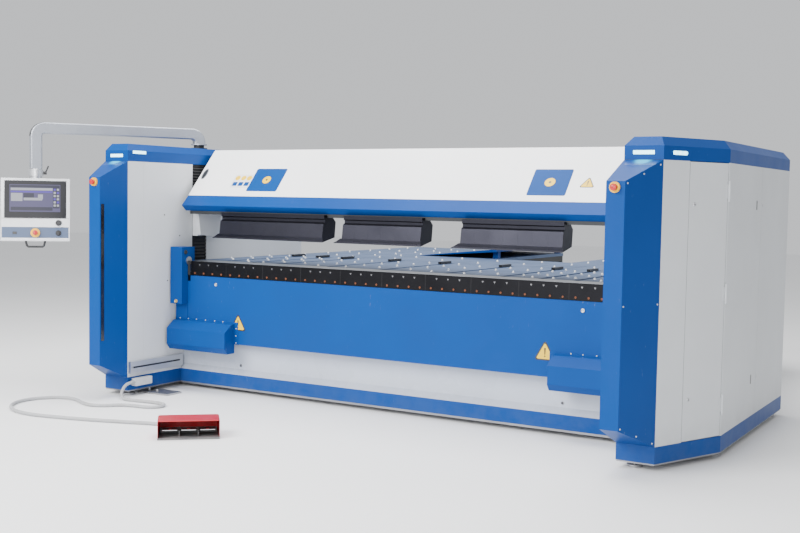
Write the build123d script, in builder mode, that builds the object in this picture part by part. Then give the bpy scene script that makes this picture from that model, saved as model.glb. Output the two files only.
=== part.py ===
from build123d import *

import os
from math import atan2, cos, degrees, hypot, pi, radians, sin, tan

# A swing-beam sheet folding machine with a triple foot switch and a swivelling control panel.
#
# Millimetres. +Z is up, +X runs along the bend line to the operator's right, and the operator stands
# on the -Y side. The origin lies on the floor under the middle of the whole machine's outline.
# Lengths below are written from the machine's own corner: X from its middle plane, Y from the front
# of the plinths, Z from the floor. The plane `floor` carries that corner into the origin's frame.

# ---- where the machine's own corner lies in the part's frame ----
middle_x = 331.3
front_y = -1832.8

# ---- driving dimensions: the columns ----
clear_width = 4180
column_depth = 2410
plinth_front_width = 250
nose_reach = 306
side_corner_y = 585
column_width = 502
plinth_bottom = 50
plinth_height = 108
cap_bottom = 1927
cap_band = 87
cap_bevel_height = 57
cap_bevel = 45
nose_front_bottom = 293
nose_front_top = 1790
sheet = 3
door_gap = 4
door_front_y = 229
door_hinge_radius = 7

# ---- driving dimensions: bend line, beams and tools ----
bend_y = 575
bend_z = 1102
bar_thickness = 15
bar_height = 122
bar_half_length = 1905
beam_depth = 90
beam_height = 550
beam_wall = 12
open_height = 203
lower_beam_front = 690
lower_beam_depth = 270
lower_beam_bottom = 100
lower_beam_top = 1000
lower_beam_wall = 20
seat_thickness = 44
seat_half_length = 1930
tool_height = 215
rail_depth = 27
upper_half_length = 2000
upper_bottom = 1527
upper_top = 2059
upper_ridge_y = 1029
upper_back_y = 1150
edge_y = 679
edge_z = 1659
nose_tip_y = 595
nose_tip_z = 1573
nose_heel_y = 648
guide_slot_front = 781
guide_slot_width = 191
guide_slot_bottom = 1040
tongue_bottom = 1297
tongue_top = 1700
screw_radius = 20
shaft_radius = 30
cheek_inner = 1946
cheek_outer = 2075
cheek_front = 491
running_gap = 0.3

# ---- driving dimensions: the table behind the tools ----
table_top = 1092
slat_depth = 30
slat_skin = 4
slot_width = 40
slot_centres = (-1800, -1520, -1240, -730, -215, 370, 850, 1160, 1435, 1680)
slot_front = 766
slot_back = 2120
middle_back = 3040
arm_back = 4740
left_arm_edge = -235
right_arm_edge = 540
table_half_width = 2084
gauge_y = 1965
finger_length = 190

# ---- driving dimensions: the control arm, the panel and the foot switch ----
post_inset = 205
post_y = 1100
arm_height = 2208
swivel_z = 2110
arm_tube = 95
drop_across = 780
drop_y = -80
drop_bottom = 1862
panel_width = 555
panel_height = 530
panel_depth = 60
panel_centre_z = 1517
panel_forward = 98
panel_turn = 46
panel_tilt = 8
pedal_x = -680
pedal_y = -849
pedal_turn = 41.6
pedal_width = 420
pedal_length = 230
pedal_height = 130
conduit_radius = 13

# ---- sizes that follow ----
inner = clear_width / 2
outer = inner + column_width
post_x = -(inner + post_inset)
drop_x = post_x - drop_across
slant = (column_width - plinth_front_width) / side_corner_y
plinth_top = plinth_bottom + plinth_height
cap_top = cap_bottom + cap_band + cap_bevel_height
tip_z = bend_z + open_height
bar_bottom = bend_z - bar_height
beam_bottom = bar_bottom - 2 - beam_height
beam_front = bend_y - bar_thickness
beam_back = beam_front + beam_depth
seat_top = lower_beam_top + seat_thickness
lower_beam_back = lower_beam_front + lower_beam_depth
tongue_front = guide_slot_front + 9
tongue_back = guide_slot_front + guide_slot_width - 9
post_front = 760
frame_x = inner + 90
screw_x = inner + 45
screw_y = tongue_back + 47
lens_x = inner + 124
lens_half = 68
lens_z = cap_bottom + 46
curtain_front = -294
curtain_back = -260
curtain_bottom = 488
curtain_top = 1580
hinge_heights = (320, 1040, 1700)
hinge_length = 90
stop_x = inner + 57
stop_z = 1753
stop_bore = 12
gauge_rail_top = 930
gauge_beam_front = gauge_y + finger_length / 2 - 70
stop_drop = -199
ball_radius = 9
ball_sink = 4
pedal_pin_radius = 4
pedal_pin_y = 54
pedal_pin_z = 41

floor = Plane(origin=(middle_x, front_y, 0))
centre = Plane(origin=(middle_x, 0, 0), x_dir=(0, 1, 0), z_dir=(1, 0, 0))


def across(x):
    """A plane square to the bend line at X = x: its own axes are the machine's Y and Z."""
    return Plane(origin=(middle_x + x, front_y, 0), x_dir=(0, 1, 0), z_dir=(1, 0, 0))


def above(z):
    """A level plane at height z: its own axes are the machine's X and Y."""
    return Plane(origin=(middle_x, front_y, z))


def facing(y):
    """An upright plane at Y = y that looks at the operator: its own axes are X and Z."""
    return Plane(origin=(middle_x, front_y + y, 0), x_dir=(1, 0, 0), z_dir=(0, -1, 0))


def block(x0, x1, y0, y1, z0, z1, mode=Mode.ADD):
    """A box between two corners, in the machine's own lengths."""
    with Locations(((x0 + x1) / 2, (y0 + y1) / 2, (z0 + z1) / 2)):
        Box(x1 - x0, y1 - y0, z1 - z0, mode=mode)


def prism(plane, outline, amount, mode=Mode.ADD, taper=0.0):
    """An outline drawn on a plane, and pulled square to it."""
    with BuildSketch(plane) as section:
        with BuildLine():
            Polyline(*outline, close=True)
        make_face()
    extrude(section.sketch, amount=amount, taper=taper, mode=mode)


def disc(plane, x, y, radius, amount, mode=Mode.ADD):
    """A round rod or bore square to a plane."""
    with BuildSketch(plane) as section:
        with Locations((x, y)):
            Circle(radius)
    extrude(section.sketch, amount=amount, mode=mode)


def bar_along_x(outline, x0, x1, mode=Mode.ADD):
    """A bar with an outline in Y and Z that runs from x0 to x1."""
    prism(across(x0), outline, x1 - x0, mode)


def rod_along_x(y, z, radius, x0, x1, mode=Mode.ADD):
    """A round rod or bore along X."""
    disc(across(x0), y, z, radius, x1 - x0, mode)


def rod_upright(x, y, radius, z0, z1, mode=Mode.ADD):
    """A round rod or bore along Z."""
    disc(above(z0), x, y, radius, z1 - z0, mode)


def both_sides():
    """The left column's copy of what the right column has."""
    mirror(about=centre)


def save(piece, name):
    piece.part.label = name
    export_step(piece.part, f"parts/{name}.step")


def column_plan(inset=0):
    """The right column seen from above: straight inside, and slanted outside from the front."""
    run = hypot(1, slant)
    return [
        (inner + inset, inset),
        (inner + plinth_front_width + slant * inset - inset * run, inset),
        (outer - inset, side_corner_y + inset * (run - 1) / slant),
        (outer - inset, column_depth - inset),
        (inner + inset, column_depth - inset),
    ]


# ---- columns ----
def make_columns():
    base_z = plinth_bottom - 10
    base_thickness = 20
    post_wall = 14
    with BuildPart(floor) as column_frames:
        prism(above(base_z), column_plan(4), base_thickness)
        block(frame_x, frame_x + 200, post_front, 1260, base_z + base_thickness, 1900)
        block(
            frame_x + post_wall, frame_x + 200 - post_wall, post_front + post_wall,
            1260 - post_wall, base_z, 1900, Mode.SUBTRACT,
        )
        block(frame_x + 200, outer - sheet, 980, 1040, 1700, 1740)
        block(inner, frame_x, lower_beam_front, lower_beam_back, base_z + base_thickness, lower_beam_top)
        block(frame_x, frame_x + 60, lower_beam_front, post_front, base_z + base_thickness, lower_beam_top)
        both_sides()
    save(column_frames, "column_frames")

    with BuildPart(floor) as plinth_panels:
        prism(above(plinth_bottom), column_plan(), plinth_height)
        prism(above(plinth_bottom), column_plan(4), plinth_height, Mode.SUBTRACT)
        block(
            inner - 1, inner + 6, lower_beam_front - 4, lower_beam_back + 4,
            plinth_bottom, plinth_top, Mode.SUBTRACT,
        )
        both_sides()
        block(-inner + 2, inner - 2, 640, 644, plinth_bottom, plinth_top)
        block(-inner + 2, inner - 2, 644, 649, plinth_bottom, plinth_bottom + 4)
    save(plinth_panels, "plinth_panels")

    with BuildPart(floor) as column_casings:
        prism(above(plinth_top), column_plan(), cap_bottom - plinth_top)
        prism(above(plinth_top), column_plan(sheet), cap_bottom - plinth_top, Mode.SUBTRACT)
        block(
            inner - 1, inner + 6, lower_beam_front - 4, lower_beam_back + 4,
            plinth_top, lower_beam_top + 4, Mode.SUBTRACT,
        )
        block(
            inner - 1, inner + 6, guide_slot_front, guide_slot_front + guide_slot_width,
            guide_slot_bottom, cap_bottom, Mode.SUBTRACT,
        )
        rod_along_x(bend_y, bend_z, shaft_radius + 8, inner - 1, inner + 6, Mode.SUBTRACT)
        with BuildSketch(door_plane()):
            with Locations((door_middle(), (plinth_top + cap_bottom) / 2)):
                Rectangle(door_width() + 2 * door_gap, door_height() + 2 * door_gap)
        extrude(amount=10, both=True, mode=Mode.SUBTRACT)
        for height in hinge_heights:
            for start in (height - running_gap - 20, height + hinge_length + running_gap):
                disc(hinge_plane(1, start), 0, 0, door_hinge_radius, 20)
                with BuildSketch(door_plane()):
                    with Locations((door_middle() + door_width() / 2 + 9, start + 10)):
                        Rectangle(8, 20)
                extrude(amount=sheet)
        block(outer - 1, outer + 1, 1500, 1504, plinth_top, cap_bottom, Mode.SUBTRACT)
        block(inner - 1, inner + 1, 180, 183, plinth_top, cap_bottom, Mode.SUBTRACT)
        both_sides()
    save(column_casings, "column_casings")

    with BuildPart(floor) as column_noses:
        prism(above(plinth_top), nose_plan(), cap_bottom - plinth_top)
        bar_along_x(nose_side(), inner - 10, outer, Mode.INTERSECT)
        open_back = column_noses.faces().sort_by(Axis.Y)[-1]
        offset(amount=-sheet, openings=open_back)
        block(inner - 1, inner + sheet + 1, curtain_front, curtain_back, curtain_bottom, curtain_top,
              Mode.SUBTRACT)
        disc(facing(-nose_reach - 1), stop_x, stop_z, stop_bore, -(sheet + 2), Mode.SUBTRACT)
        both_sides()
    save(column_noses, "column_noses")

    with BuildPart(floor) as column_caps:
        bevel_angle = degrees(atan2(cap_bevel, cap_bevel_height))
        prism(above(cap_bottom), column_plan(), cap_band)
        prism(above(cap_bottom + cap_band), column_plan(), cap_bevel_height, taper=bevel_angle)
        inset = sheet + 1
        prism(above(cap_bottom), column_plan(inset), cap_band - 2, Mode.SUBTRACT)
        hollow_height = cap_bevel_height - sheet
        prism(above(cap_bottom + cap_band - 2), column_plan(inset), hollow_height, Mode.SUBTRACT, bevel_angle)
        block(lens_x - lens_half, lens_x + lens_half, -1, 8, lens_z - 12, lens_z + 12, Mode.SUBTRACT)
        block(inner - 1, inner + 8, 58, 208, lens_z + 18, lens_z + 42, Mode.SUBTRACT)
        both_sides()
        rod_upright(post_x, post_y, 52, cap_bottom, cap_top + 1, Mode.SUBTRACT)
    save(column_caps, "column_caps")

    with BuildPart(floor) as status_lenses:
        block(
            lens_x - lens_half + running_gap, lens_x + lens_half - running_gap, -0.5, 7.7,
            lens_z - 12 + running_gap, lens_z + 12 - running_gap,
        )
        block(
            inner - 0.5, inner + 7.7, 58 + running_gap, 208 - running_gap,
            lens_z + 18 + running_gap, lens_z + 42 - running_gap,
        )
        both_sides()
    save(status_lenses, "status_lenses")


def nose_plan():
    """The right column's nose seen from above."""
    return [
        (inner, 0),
        (inner, -nose_reach),
        (inner + plinth_front_width - slant * nose_reach, -nose_reach),
        (inner + plinth_front_width, 0),
    ]


def nose_side():
    """The nose seen from the side, as points in Y and Z: upright in front, slanted back above and below."""
    return [
        (0, plinth_top), (0, cap_bottom), (-nose_reach, nose_front_top), (-nose_reach, nose_front_bottom),
    ]


# ---- doors in the slanted sides ----
def door_plane(side=1):
    """The slanted side's outer face: its own axes run back along the side, and up."""
    length = hypot(1, slant)
    return Plane(
        origin=(middle_x + side * (inner + plinth_front_width), front_y, 0),
        x_dir=(side * slant / length, 1 / length, 0),
        z_dir=(1 / length, -side * slant / length, 0) if side > 0 else (-1 / length, -slant / length, 0),
    )


def slant_run(y):
    """How far along the slanted side a place at depth y lies."""
    return y * hypot(1, slant)


def door_width():
    return slant_run(side_corner_y - door_front_y) - 14


def door_middle():
    return slant_run(door_front_y) + door_width() / 2


def door_height():
    return cap_bottom - plinth_top - 2 * door_gap


def make_doors():
    for side, name in ((-1, "left_door"), (1, "right_door")):
        up = 1 if side > 0 else -1
        with BuildPart(floor) as door:
            with BuildSketch(door_plane(side)):
                with Locations((door_middle(), up * (plinth_top + cap_bottom) / 2)):
                    Rectangle(door_width(), door_height())
            extrude(amount=-sheet)
            for height in hinge_heights:
                disc(hinge_plane(side, height), 0, 0, door_hinge_radius, hinge_length)
                with BuildSketch(door_plane(side)):
                    with Locations((door_middle() + door_width() / 2 - 7, up * (height + hinge_length / 2))):
                        Rectangle(20, hinge_length)
                extrude(amount=sheet)
            for height in (426, 1658):
                disc(door_plane(side), slant_run(275), up * height, 12, 4)
        save(door, name)


def hinge_plane(side, z):
    """A level plane on the door's hinge line, just outside the slanted side."""
    along = door_middle() + door_width() / 2 + 6
    length = hypot(1, slant)
    stand_off = door_hinge_radius + 0.5
    x = inner + plinth_front_width + along * slant / length + stand_off / length
    y = along / length - stand_off * slant / length
    return Plane(origin=(middle_x + side * x, front_y + y, z))


# ---- lower beam, its covers and the lower tool ----
def make_lower_beam():
    rail_bottom = 34
    with BuildPart(floor) as lower_beam:
        block(-inner, inner, lower_beam_front, lower_beam_back, lower_beam_bottom, lower_beam_top)
        block(
            -inner, inner, lower_beam_front + lower_beam_wall, lower_beam_back - lower_beam_wall,
            lower_beam_bottom + lower_beam_wall, lower_beam_top - lower_beam_wall, Mode.SUBTRACT,
        )
        block(-seat_half_length, seat_half_length, 660, lower_beam_back, lower_beam_top, seat_top)
        block(-inner + 2, inner - 2, 642, 704, rail_bottom, plinth_bottom)
        rib_pitch = 820
        for place in (-2, -1, 0, 1, 2):
            block(
                place * rib_pitch - 8, place * rib_pitch + 8, 650, lower_beam_front + 60,
                plinth_bottom, lower_beam_bottom,
            )
    save(lower_beam, "lower_beam")

    skirt_y = 676
    with BuildPart(floor) as skirt_panel:
        skirt = [
            (skirt_y, lower_beam_top - 2), (skirt_y, 202), (640, plinth_top + 2),
            (640, plinth_top), (644, plinth_top), (skirt_y + sheet, 200), (skirt_y + sheet, lower_beam_top - 2),
        ]
        bar_along_x(skirt, -inner + 2, inner - 2)
        for x in (-1452, 1452):
            block(x - 20, x + 20, skirt_y + sheet, lower_beam_front, 300, 340)
            block(x - 20, x + 20, skirt_y + sheet, lower_beam_front, 860, 900)
            with BuildSketch(facing(skirt_y - 1)):
                with Locations((x, 233)):
                    Circle(12)
            extrude(amount=-(sheet + 2), mode=Mode.SUBTRACT)
    save(skirt_panel, "skirt_panel")

    segments = 8
    with BuildPart(floor) as lower_tool:
        nose = bend_y + running_gap
        profile = [
            (nose, bend_z), (nose, bend_z - 22), (640, seat_top), (slot_front - 6, seat_top),
            (slot_front - 6, bend_z),
        ]
        length = 2 * bar_half_length / segments
        for i in range(segments):
            start = -bar_half_length + i * length
            bar_along_x(profile, start + 0.2, start + length - 0.2)
    save(lower_tool, "lower_tool")


# ---- bending beam ----
def make_bending_beam():
    with BuildPart(floor) as bending_beam:
        block(-1910, 1910, beam_front, beam_back, beam_bottom, bar_bottom - 2)
        block(
            -1910, 1910, beam_front + beam_wall, beam_back - beam_wall,
            beam_bottom + beam_wall, bar_bottom - 2 - beam_wall, Mode.SUBTRACT,
        )
        block(-bar_half_length, bar_half_length, bend_y + 2, bend_y + 25, bar_bottom - 2, bend_z - 62)
        cheek_bottom = 737
        cheek_top = 1219
        for side in (-1, 1):
            x0, x1 = sorted((side * 1910, side * cheek_inner))
            block(x0, x1, beam_front + 6, beam_back, beam_bottom, 930)
            x0, x1 = sorted((side * cheek_inner, side * cheek_outer))
            block(x0, x1, cheek_front, beam_back, cheek_bottom, cheek_top)
            block(x0, x1, beam_front + 2, beam_back, beam_bottom, cheek_bottom)
            rod_along_x(bend_y, bend_z, shaft_radius + running_gap, x0 - 1, x1 + 1, Mode.SUBTRACT)
    save(bending_beam, "bending_beam")

    segments = 10
    with BuildPart(floor) as bending_bar:
        profile = [
            (beam_front, bend_z - 1), (beam_front, bar_bottom), (bend_y + 2, bar_bottom),
            (bend_y + 2, bend_z - 62), (bend_y, bend_z - 62), (bend_y, bend_z - 1),
        ]
        length = 2 * bar_half_length / segments
        for i in range(segments):
            start = -bar_half_length + i * length
            bar_along_x(profile, start + 0.2, start + length - 0.2)
        for side in (-1, 1):
            x0, x1 = sorted((side * (bar_half_length + 6), side * (cheek_inner - 1)))
            block(x0, x1, beam_front + 6, beam_back - 10, 930, 1010)
    save(bending_bar, "bending_bar")

    with BuildPart(floor) as pivot_shafts:
        rod_along_x(bend_y, bend_z, shaft_radius, cheek_inner, inner + 209.7)
        rod_along_x(bend_y, bend_z, shaft_radius + 5, cheek_inner - 6, cheek_inner)
        both_sides()
    save(pivot_shafts, "pivot_shafts")

    with BuildPart(floor) as link_covers:
        x0 = 1430
        x1 = 2062
        profile = [(560, 600), (515, 592), (430, 530), (430, 400), (468, 352), (560, 352)]
        bar_along_x(profile, x0, x1)
        hollow = [(560, 594), (517, 586), (436, 527), (436, 403), (471, 358), (560, 358)]
        bar_along_x(hollow, x0 + 6, x1 - 6, Mode.SUBTRACT)
        for x, turn in ((x0, 1), (x1, -1)):
            prism(above(300), [(x, 429), (x, 434), (x + turn * 4, 429)], 400, Mode.SUBTRACT)
        block(x0 - 38, x1 - 120, beam_front - 3, beam_front, beam_bottom, 612)
        both_sides()
    save(link_covers, "link_covers")

    with BuildPart(floor) as bending_motors:
        block(inner + 195, inner + 210, 490, post_front, bend_z - 85, bend_z + 85)
        rod_along_x(bend_y, bend_z, shaft_radius + running_gap, inner + 190, inner + 210, Mode.SUBTRACT)
        rod_along_x(bend_y, bend_z, 75, inner + 210, inner + 330)
        rod_along_x(bend_y, bend_z, 55, inner + 330, inner + 420)
        both_sides()
    save(bending_motors, "bending_motors")


# ---- upper beam ----
def make_upper_beam():
    girder_front = 690
    wall = 14
    shell = [
        (girder_front, upper_bottom), (upper_back_y, upper_bottom), (upper_back_y, upper_top - 4),
        (upper_ridge_y + 6, upper_top - 4), (girder_front, edge_z - 2),
    ]
    hollow = [
        (girder_front + wall, upper_bottom + wall), (upper_back_y - wall, upper_bottom + wall),
        (upper_back_y - wall, upper_top - 4 - wall), (upper_ridge_y + 12, upper_top - 4 - wall),
        (girder_front + wall, edge_z - 6),
    ]
    with BuildPart(floor) as upper_beam:
        bar_along_x(shell, -upper_half_length, upper_half_length)
        bar_along_x(hollow, -upper_half_length, upper_half_length, Mode.SUBTRACT)
    save(upper_beam, "upper_beam")

    cover_half = upper_half_length + 45
    with BuildPart(floor) as upper_cover:
        skin = [
            (edge_y, edge_z), (upper_ridge_y, upper_top), (upper_back_y + 6, upper_top),
            (upper_back_y + 6, upper_bottom + 60), (upper_back_y + 2, upper_bottom + 60),
            (upper_back_y + 2, upper_top - 3.7), (upper_ridge_y + 2, upper_top - 3.7),
            (edge_y + 4.5, edge_z),
        ]
        bar_along_x(skin, -cover_half, cover_half)
    save(upper_cover, "upper_cover")

    with BuildPart(floor) as upper_nose:
        skin = [
            (edge_y - 0.5, edge_z - 0.5), (nose_tip_y, nose_tip_z), (nose_heel_y, upper_bottom),
            (girder_front, upper_bottom), (girder_front, edge_z - 0.5),
        ]
        bar_along_x(skin, -cover_half, cover_half)
        core = [
            (edge_y - 1, edge_z - 9), (nose_tip_y + 9, nose_tip_z), (nose_heel_y + 3, upper_bottom + 6),
            (girder_front - 6, upper_bottom + 6), (girder_front - 6, edge_z - 9),
        ]
        bar_along_x(core, -cover_half, cover_half, Mode.SUBTRACT)
    save(upper_nose, "upper_nose")

    with BuildPart(floor) as tool_rail:
        block(-1990, 1990, 640, 720, upper_bottom - rail_depth, upper_bottom)
    save(tool_rail, "tool_rail")

    with BuildPart(floor) as beam_carriages:
        plate = [
            (740, upper_bottom + 90), (790, tongue_bottom + 20), (982, tongue_bottom), (1063, 1474),
            (1063, 1985), (1000, 1985),
        ]
        bar_along_x(plate, upper_half_length, upper_half_length + 38)
        block(upper_half_length + 38, frame_x - 50, tongue_front, tongue_back, tongue_bottom + 10, tongue_top)
        block(frame_x - 50, frame_x - 20.3, tongue_front + 6, tongue_back - 6, 1320, 1400)
        block(frame_x - 50, frame_x - 20.3, tongue_front + 6, tongue_back - 6, 1590, 1670)
        block(screw_x - 35, screw_x - 5, tongue_back, screw_y - 30, 1460, 1540)
        block(screw_x - 35, screw_x + 35, screw_y - 35, screw_y + 35, 1460, 1540)
        rod_upright(screw_x, screw_y, screw_radius + running_gap, 1450, 1550, Mode.SUBTRACT)
        both_sides()
    save(beam_carriages, "beam_carriages")

    groups = (("left_tools", -1690, -566, 9), ("middle_tools", -461, 324, 6), ("right_tools", 579, 1461, 7))
    for name, start, end, count in groups:
        make_tool_group(name, start, end, count)

    with BuildPart(floor) as linear_rails:
        for y in (tongue_front + 20, tongue_back - 43):
            block(frame_x - 20, frame_x, y, y + 23, guide_slot_bottom + 10, 1880)
        both_sides()
    save(linear_rails, "linear_rails")

    for side, name in ((-1, "left_ball_screw"), (1, "right_ball_screw")):
        with BuildPart(floor) as ball_screw:
            rod_upright(side * screw_x, screw_y, screw_radius, lower_beam_top + 20, 1870)
            rod_upright(side * screw_x, screw_y, 30, 1845, 1870)
        save(ball_screw, name)

    with BuildPart(floor) as lift_motors:
        block(screw_x - 38, frame_x + 60, screw_y - 36, screw_y + 36, 1900, 1914)
        rod_upright(screw_x, screw_y, 12, 1870 + running_gap, 1900)
        rod_upright(screw_x, screw_y, 34, 1914, cap_bottom + cap_band - 10)
        both_sides()
    save(lift_motors, "lift_motors")

    with BuildPart(floor) as bearing_blocks:
        block(inner + 15, inner + 75, 505, lower_beam_front, 850, bend_z + 70)
        rod_along_x(bend_y, bend_z, shaft_radius + running_gap, inner, inner + 100, Mode.SUBTRACT)
        block(screw_x - 38, frame_x, screw_y - 38, screw_y + 38, lower_beam_top, lower_beam_top + 34)
        rod_upright(
            screw_x, screw_y, screw_radius + running_gap, lower_beam_top + 19.7, lower_beam_top + 40,
            Mode.SUBTRACT,
        )
        both_sides()
    save(bearing_blocks, "bearing_blocks")


def make_tool_group(name, start, end, count):
    """One run of upper clamping tools: a hollow-backed foot with its tip over the bend line."""
    tip = bend_y + 1
    foot_top = tip_z + 38
    tool_top = upper_bottom - rail_depth - running_gap
    body = [
        (tip, tip_z), (tip + 8, tip_z + 14), (tip - 5, foot_top), (tip + 10, tip_z + 145),
        (tip + 34, tip_z + 158), (tip + 34, tip_z + 178), (tip + 20, tip_z + 186),
        (tip + 20, tip_z + tool_height), (638, tip_z + tool_height), (638, tool_top),
        (722, tool_top), (762, tip_z + 160), (748, tip_z + 36),
    ]
    foot = [
        (tip, tip_z), (tip + 8, tip_z + 14), (tip - 5, foot_top), (748, foot_top + 2), (748, tip_z + 36),
    ]
    horn = 80
    length = (end - start - horn) / count
    above_horn = [(start - 1, tip_z + 4), (start + horn, foot_top + 6), (start - 1, foot_top + 6)]
    with BuildPart(floor) as tools:
        bar_along_x(foot, start, start + horn + 0.4)
        prism(facing(bend_y - 20), above_horn, -220, Mode.SUBTRACT)
        for i in range(count):
            left = start + horn + i * length
            bar_along_x(body, left + 0.2, left + length - 0.2)
    save(tools, name)


def make_bellows():
    """Pleated covers of the guide slots, above and below the beam's tongue."""
    spans = (
        ("lower_bellows", guide_slot_bottom, tongue_bottom + 10 - running_gap, 9),
        ("upper_bellows", tongue_top + running_gap, cap_bottom, 9),
    )
    crest = inner + sheet + running_gap
    for name, bottom, top, pleats in spans:
        pitch = (top - bottom) / pleats
        outline = [(inner + 24, bottom)]
        for i in range(pleats):
            outline += [(inner + 14, bottom + i * pitch), (crest, bottom + (i + 0.5) * pitch)]
        outline += [(inner + 14, top), (inner + 24, top)]
        with BuildPart(floor) as bellows:
            prism(facing(guide_slot_front + 2), outline, -(guide_slot_width - 4))
            both_sides()
        save(bellows, name)


# ---- table ----
def slat(x0, x1, y0, y1):
    """A folded table slat: a top skin with two turned-down edges."""
    top = table_top
    low = table_top - slat_depth
    outline = [
        (x0, low), (x0, top), (x1, top), (x1, low), (x1 - slat_skin, low),
        (x1 - slat_skin, top - slat_skin), (x0 + slat_skin, top - slat_skin), (x0 + slat_skin, low),
    ]
    prism(facing(y0), outline, -(y1 - y0))


def slat_edges():
    """The left and right edge of every slat between the slots."""
    half = slot_width / 2
    lefts = [-table_half_width] + [c + half for c in slot_centres]
    rights = [c - half for c in slot_centres] + [table_half_width]
    return list(zip(lefts, rights))


def slat_backs():
    """The rear slats' edges, and how far back each reaches."""
    seam = 3
    edges = [-table_half_width, -1800, -1520, -1240, -1090, -730, left_arm_edge, 150, right_arm_edge]
    edges += [850, 1160, 1435, 1680, table_half_width]
    rows = []
    for x0, x1 in zip(edges, edges[1:]):
        in_middle = x0 >= left_arm_edge and x1 <= right_arm_edge
        rows.append((x0 + seam, x1 - seam, middle_back if in_middle else arm_back))
    return rows


def make_table():
    with BuildPart(floor) as table_slats:
        for x0, x1 in slat_edges():
            slat(x0, x1, slot_front, slot_back)
        for x0, x1, back in slat_backs():
            slat(x0, x1, slot_back + 6, back)
    save(table_slats, "table_slats")

    flap_rise = 68
    flap_left = -1080
    with BuildPart(floor) as lift_flap:
        flap = [
            (flap_left, table_top), (left_arm_edge, table_top + flap_rise),
            (left_arm_edge, table_top + flap_rise + 26), (flap_left, table_top + 3),
        ]
        prism(facing(middle_back + 5), flap, -(arm_back - middle_back - 5))
        for y in (middle_back + 60, arm_back - 120):
            block(left_arm_edge - 60, left_arm_edge - 10, y, y + 60, table_top, table_top + flap_rise - 4)
    save(lift_flap, "lift_flap")

    with BuildPart(floor) as table_frame:
        cross_bottom = table_top - slat_depth - 60
        cross_top = table_top - slat_depth
        rail_bottom = 870
        edge = table_half_width - 44
        block(-edge, edge, slot_front + 6, slot_front + 34, seat_top, cross_top)
        block(-edge, edge, slot_back - 8, slot_back + 20, cross_bottom, cross_top)
        for y, x0, x1 in (
            (slot_back + 20, -edge, edge), (middle_back - 40, -edge, edge),
            (arm_back - 50, -edge, left_arm_edge - 5), (arm_back - 50, right_arm_edge + 5, edge),
        ):
            block(x0, x1, y, y + 40, cross_bottom, cross_top)
        for x in (-edge, edge - 60):
            block(x, x + 60, lower_beam_back, arm_back - 10, cross_bottom - 60, cross_bottom)
        for x in (left_arm_edge - 65, right_arm_edge + 5):
            block(x, x + 60, middle_back, arm_back - 50, cross_bottom, cross_top)
        for x in (-1015, 985):
            block(x, x + 30, lower_beam_back, slot_back + 60, rail_bottom, gauge_rail_top)
            block(x, x + 30, slot_back + 20, slot_back + 60, 0, cross_bottom)
        for x in (-edge, edge - 60):
            for y in (middle_back - 40, arm_back - 50):
                block(x, x + 60, y, y + 40, 0, cross_bottom)
        for x in (left_arm_edge - 65, right_arm_edge + 5):
            for y in (middle_back - 40, arm_back - 50):
                block(x, x + 60, y, y + 40, 0, cross_bottom)
    save(table_frame, "table_frame")

    with BuildPart(floor) as transfer_balls:
        carriage_back = tongue_back + 2 * ball_radius
        for row, (x0, x1) in enumerate(slat_edges()):
            width = x1 - x0
            places = [x0 + width / 2] if width < 180 else [x0 + 0.25 * width, x0 + 0.75 * width]
            for column, x in enumerate(places):
                y = slot_front + 190 + 140 * ((row + column) % 2)
                while y < slot_back - 60:
                    under_carriage = abs(x) > upper_half_length - ball_radius and y < carriage_back
                    if not under_carriage:
                        with Locations((x, y, table_top + ball_radius - ball_sink)):
                            Sphere(ball_radius)
                    y += 280
        for row, (x0, x1, back) in enumerate(slat_backs()):
            under_flap = x1 <= left_arm_edge and x0 >= -1100
            y = slot_back + 150 + 140 * (row % 2)
            while y < (middle_back if under_flap else back) - 80:
                with Locations(((x0 + x1) / 2, y, table_top + ball_radius - ball_sink)):
                    Sphere(ball_radius)
                y += 400
        block(
            -table_half_width, table_half_width, slot_front - 50, arm_back + 50,
            table_top - 30, table_top, Mode.SUBTRACT,
        )
    save(transfer_balls, "transfer_balls")

    with BuildPart(floor) as back_gauge:
        block(-1830, 1830, gauge_beam_front, gauge_beam_front + 70, gauge_rail_top, gauge_rail_top + 80)
        block(
            -1830, 1830, gauge_beam_front + 6, gauge_beam_front + 64, gauge_rail_top + 6,
            gauge_rail_top + 74, Mode.SUBTRACT,
        )
        stem = 24
        head_bottom = table_top + 3
        for x in slot_centres:
            block(
                x - stem / 2, x + stem / 2, gauge_beam_front, gauge_beam_front + 60,
                gauge_rail_top + 80, head_bottom,
            )
            block(
                x - 15, x + 15, gauge_y - finger_length / 2, gauge_y + finger_length / 2,
                head_bottom, head_bottom + 20,
            )
    save(back_gauge, "back_gauge")


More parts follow.
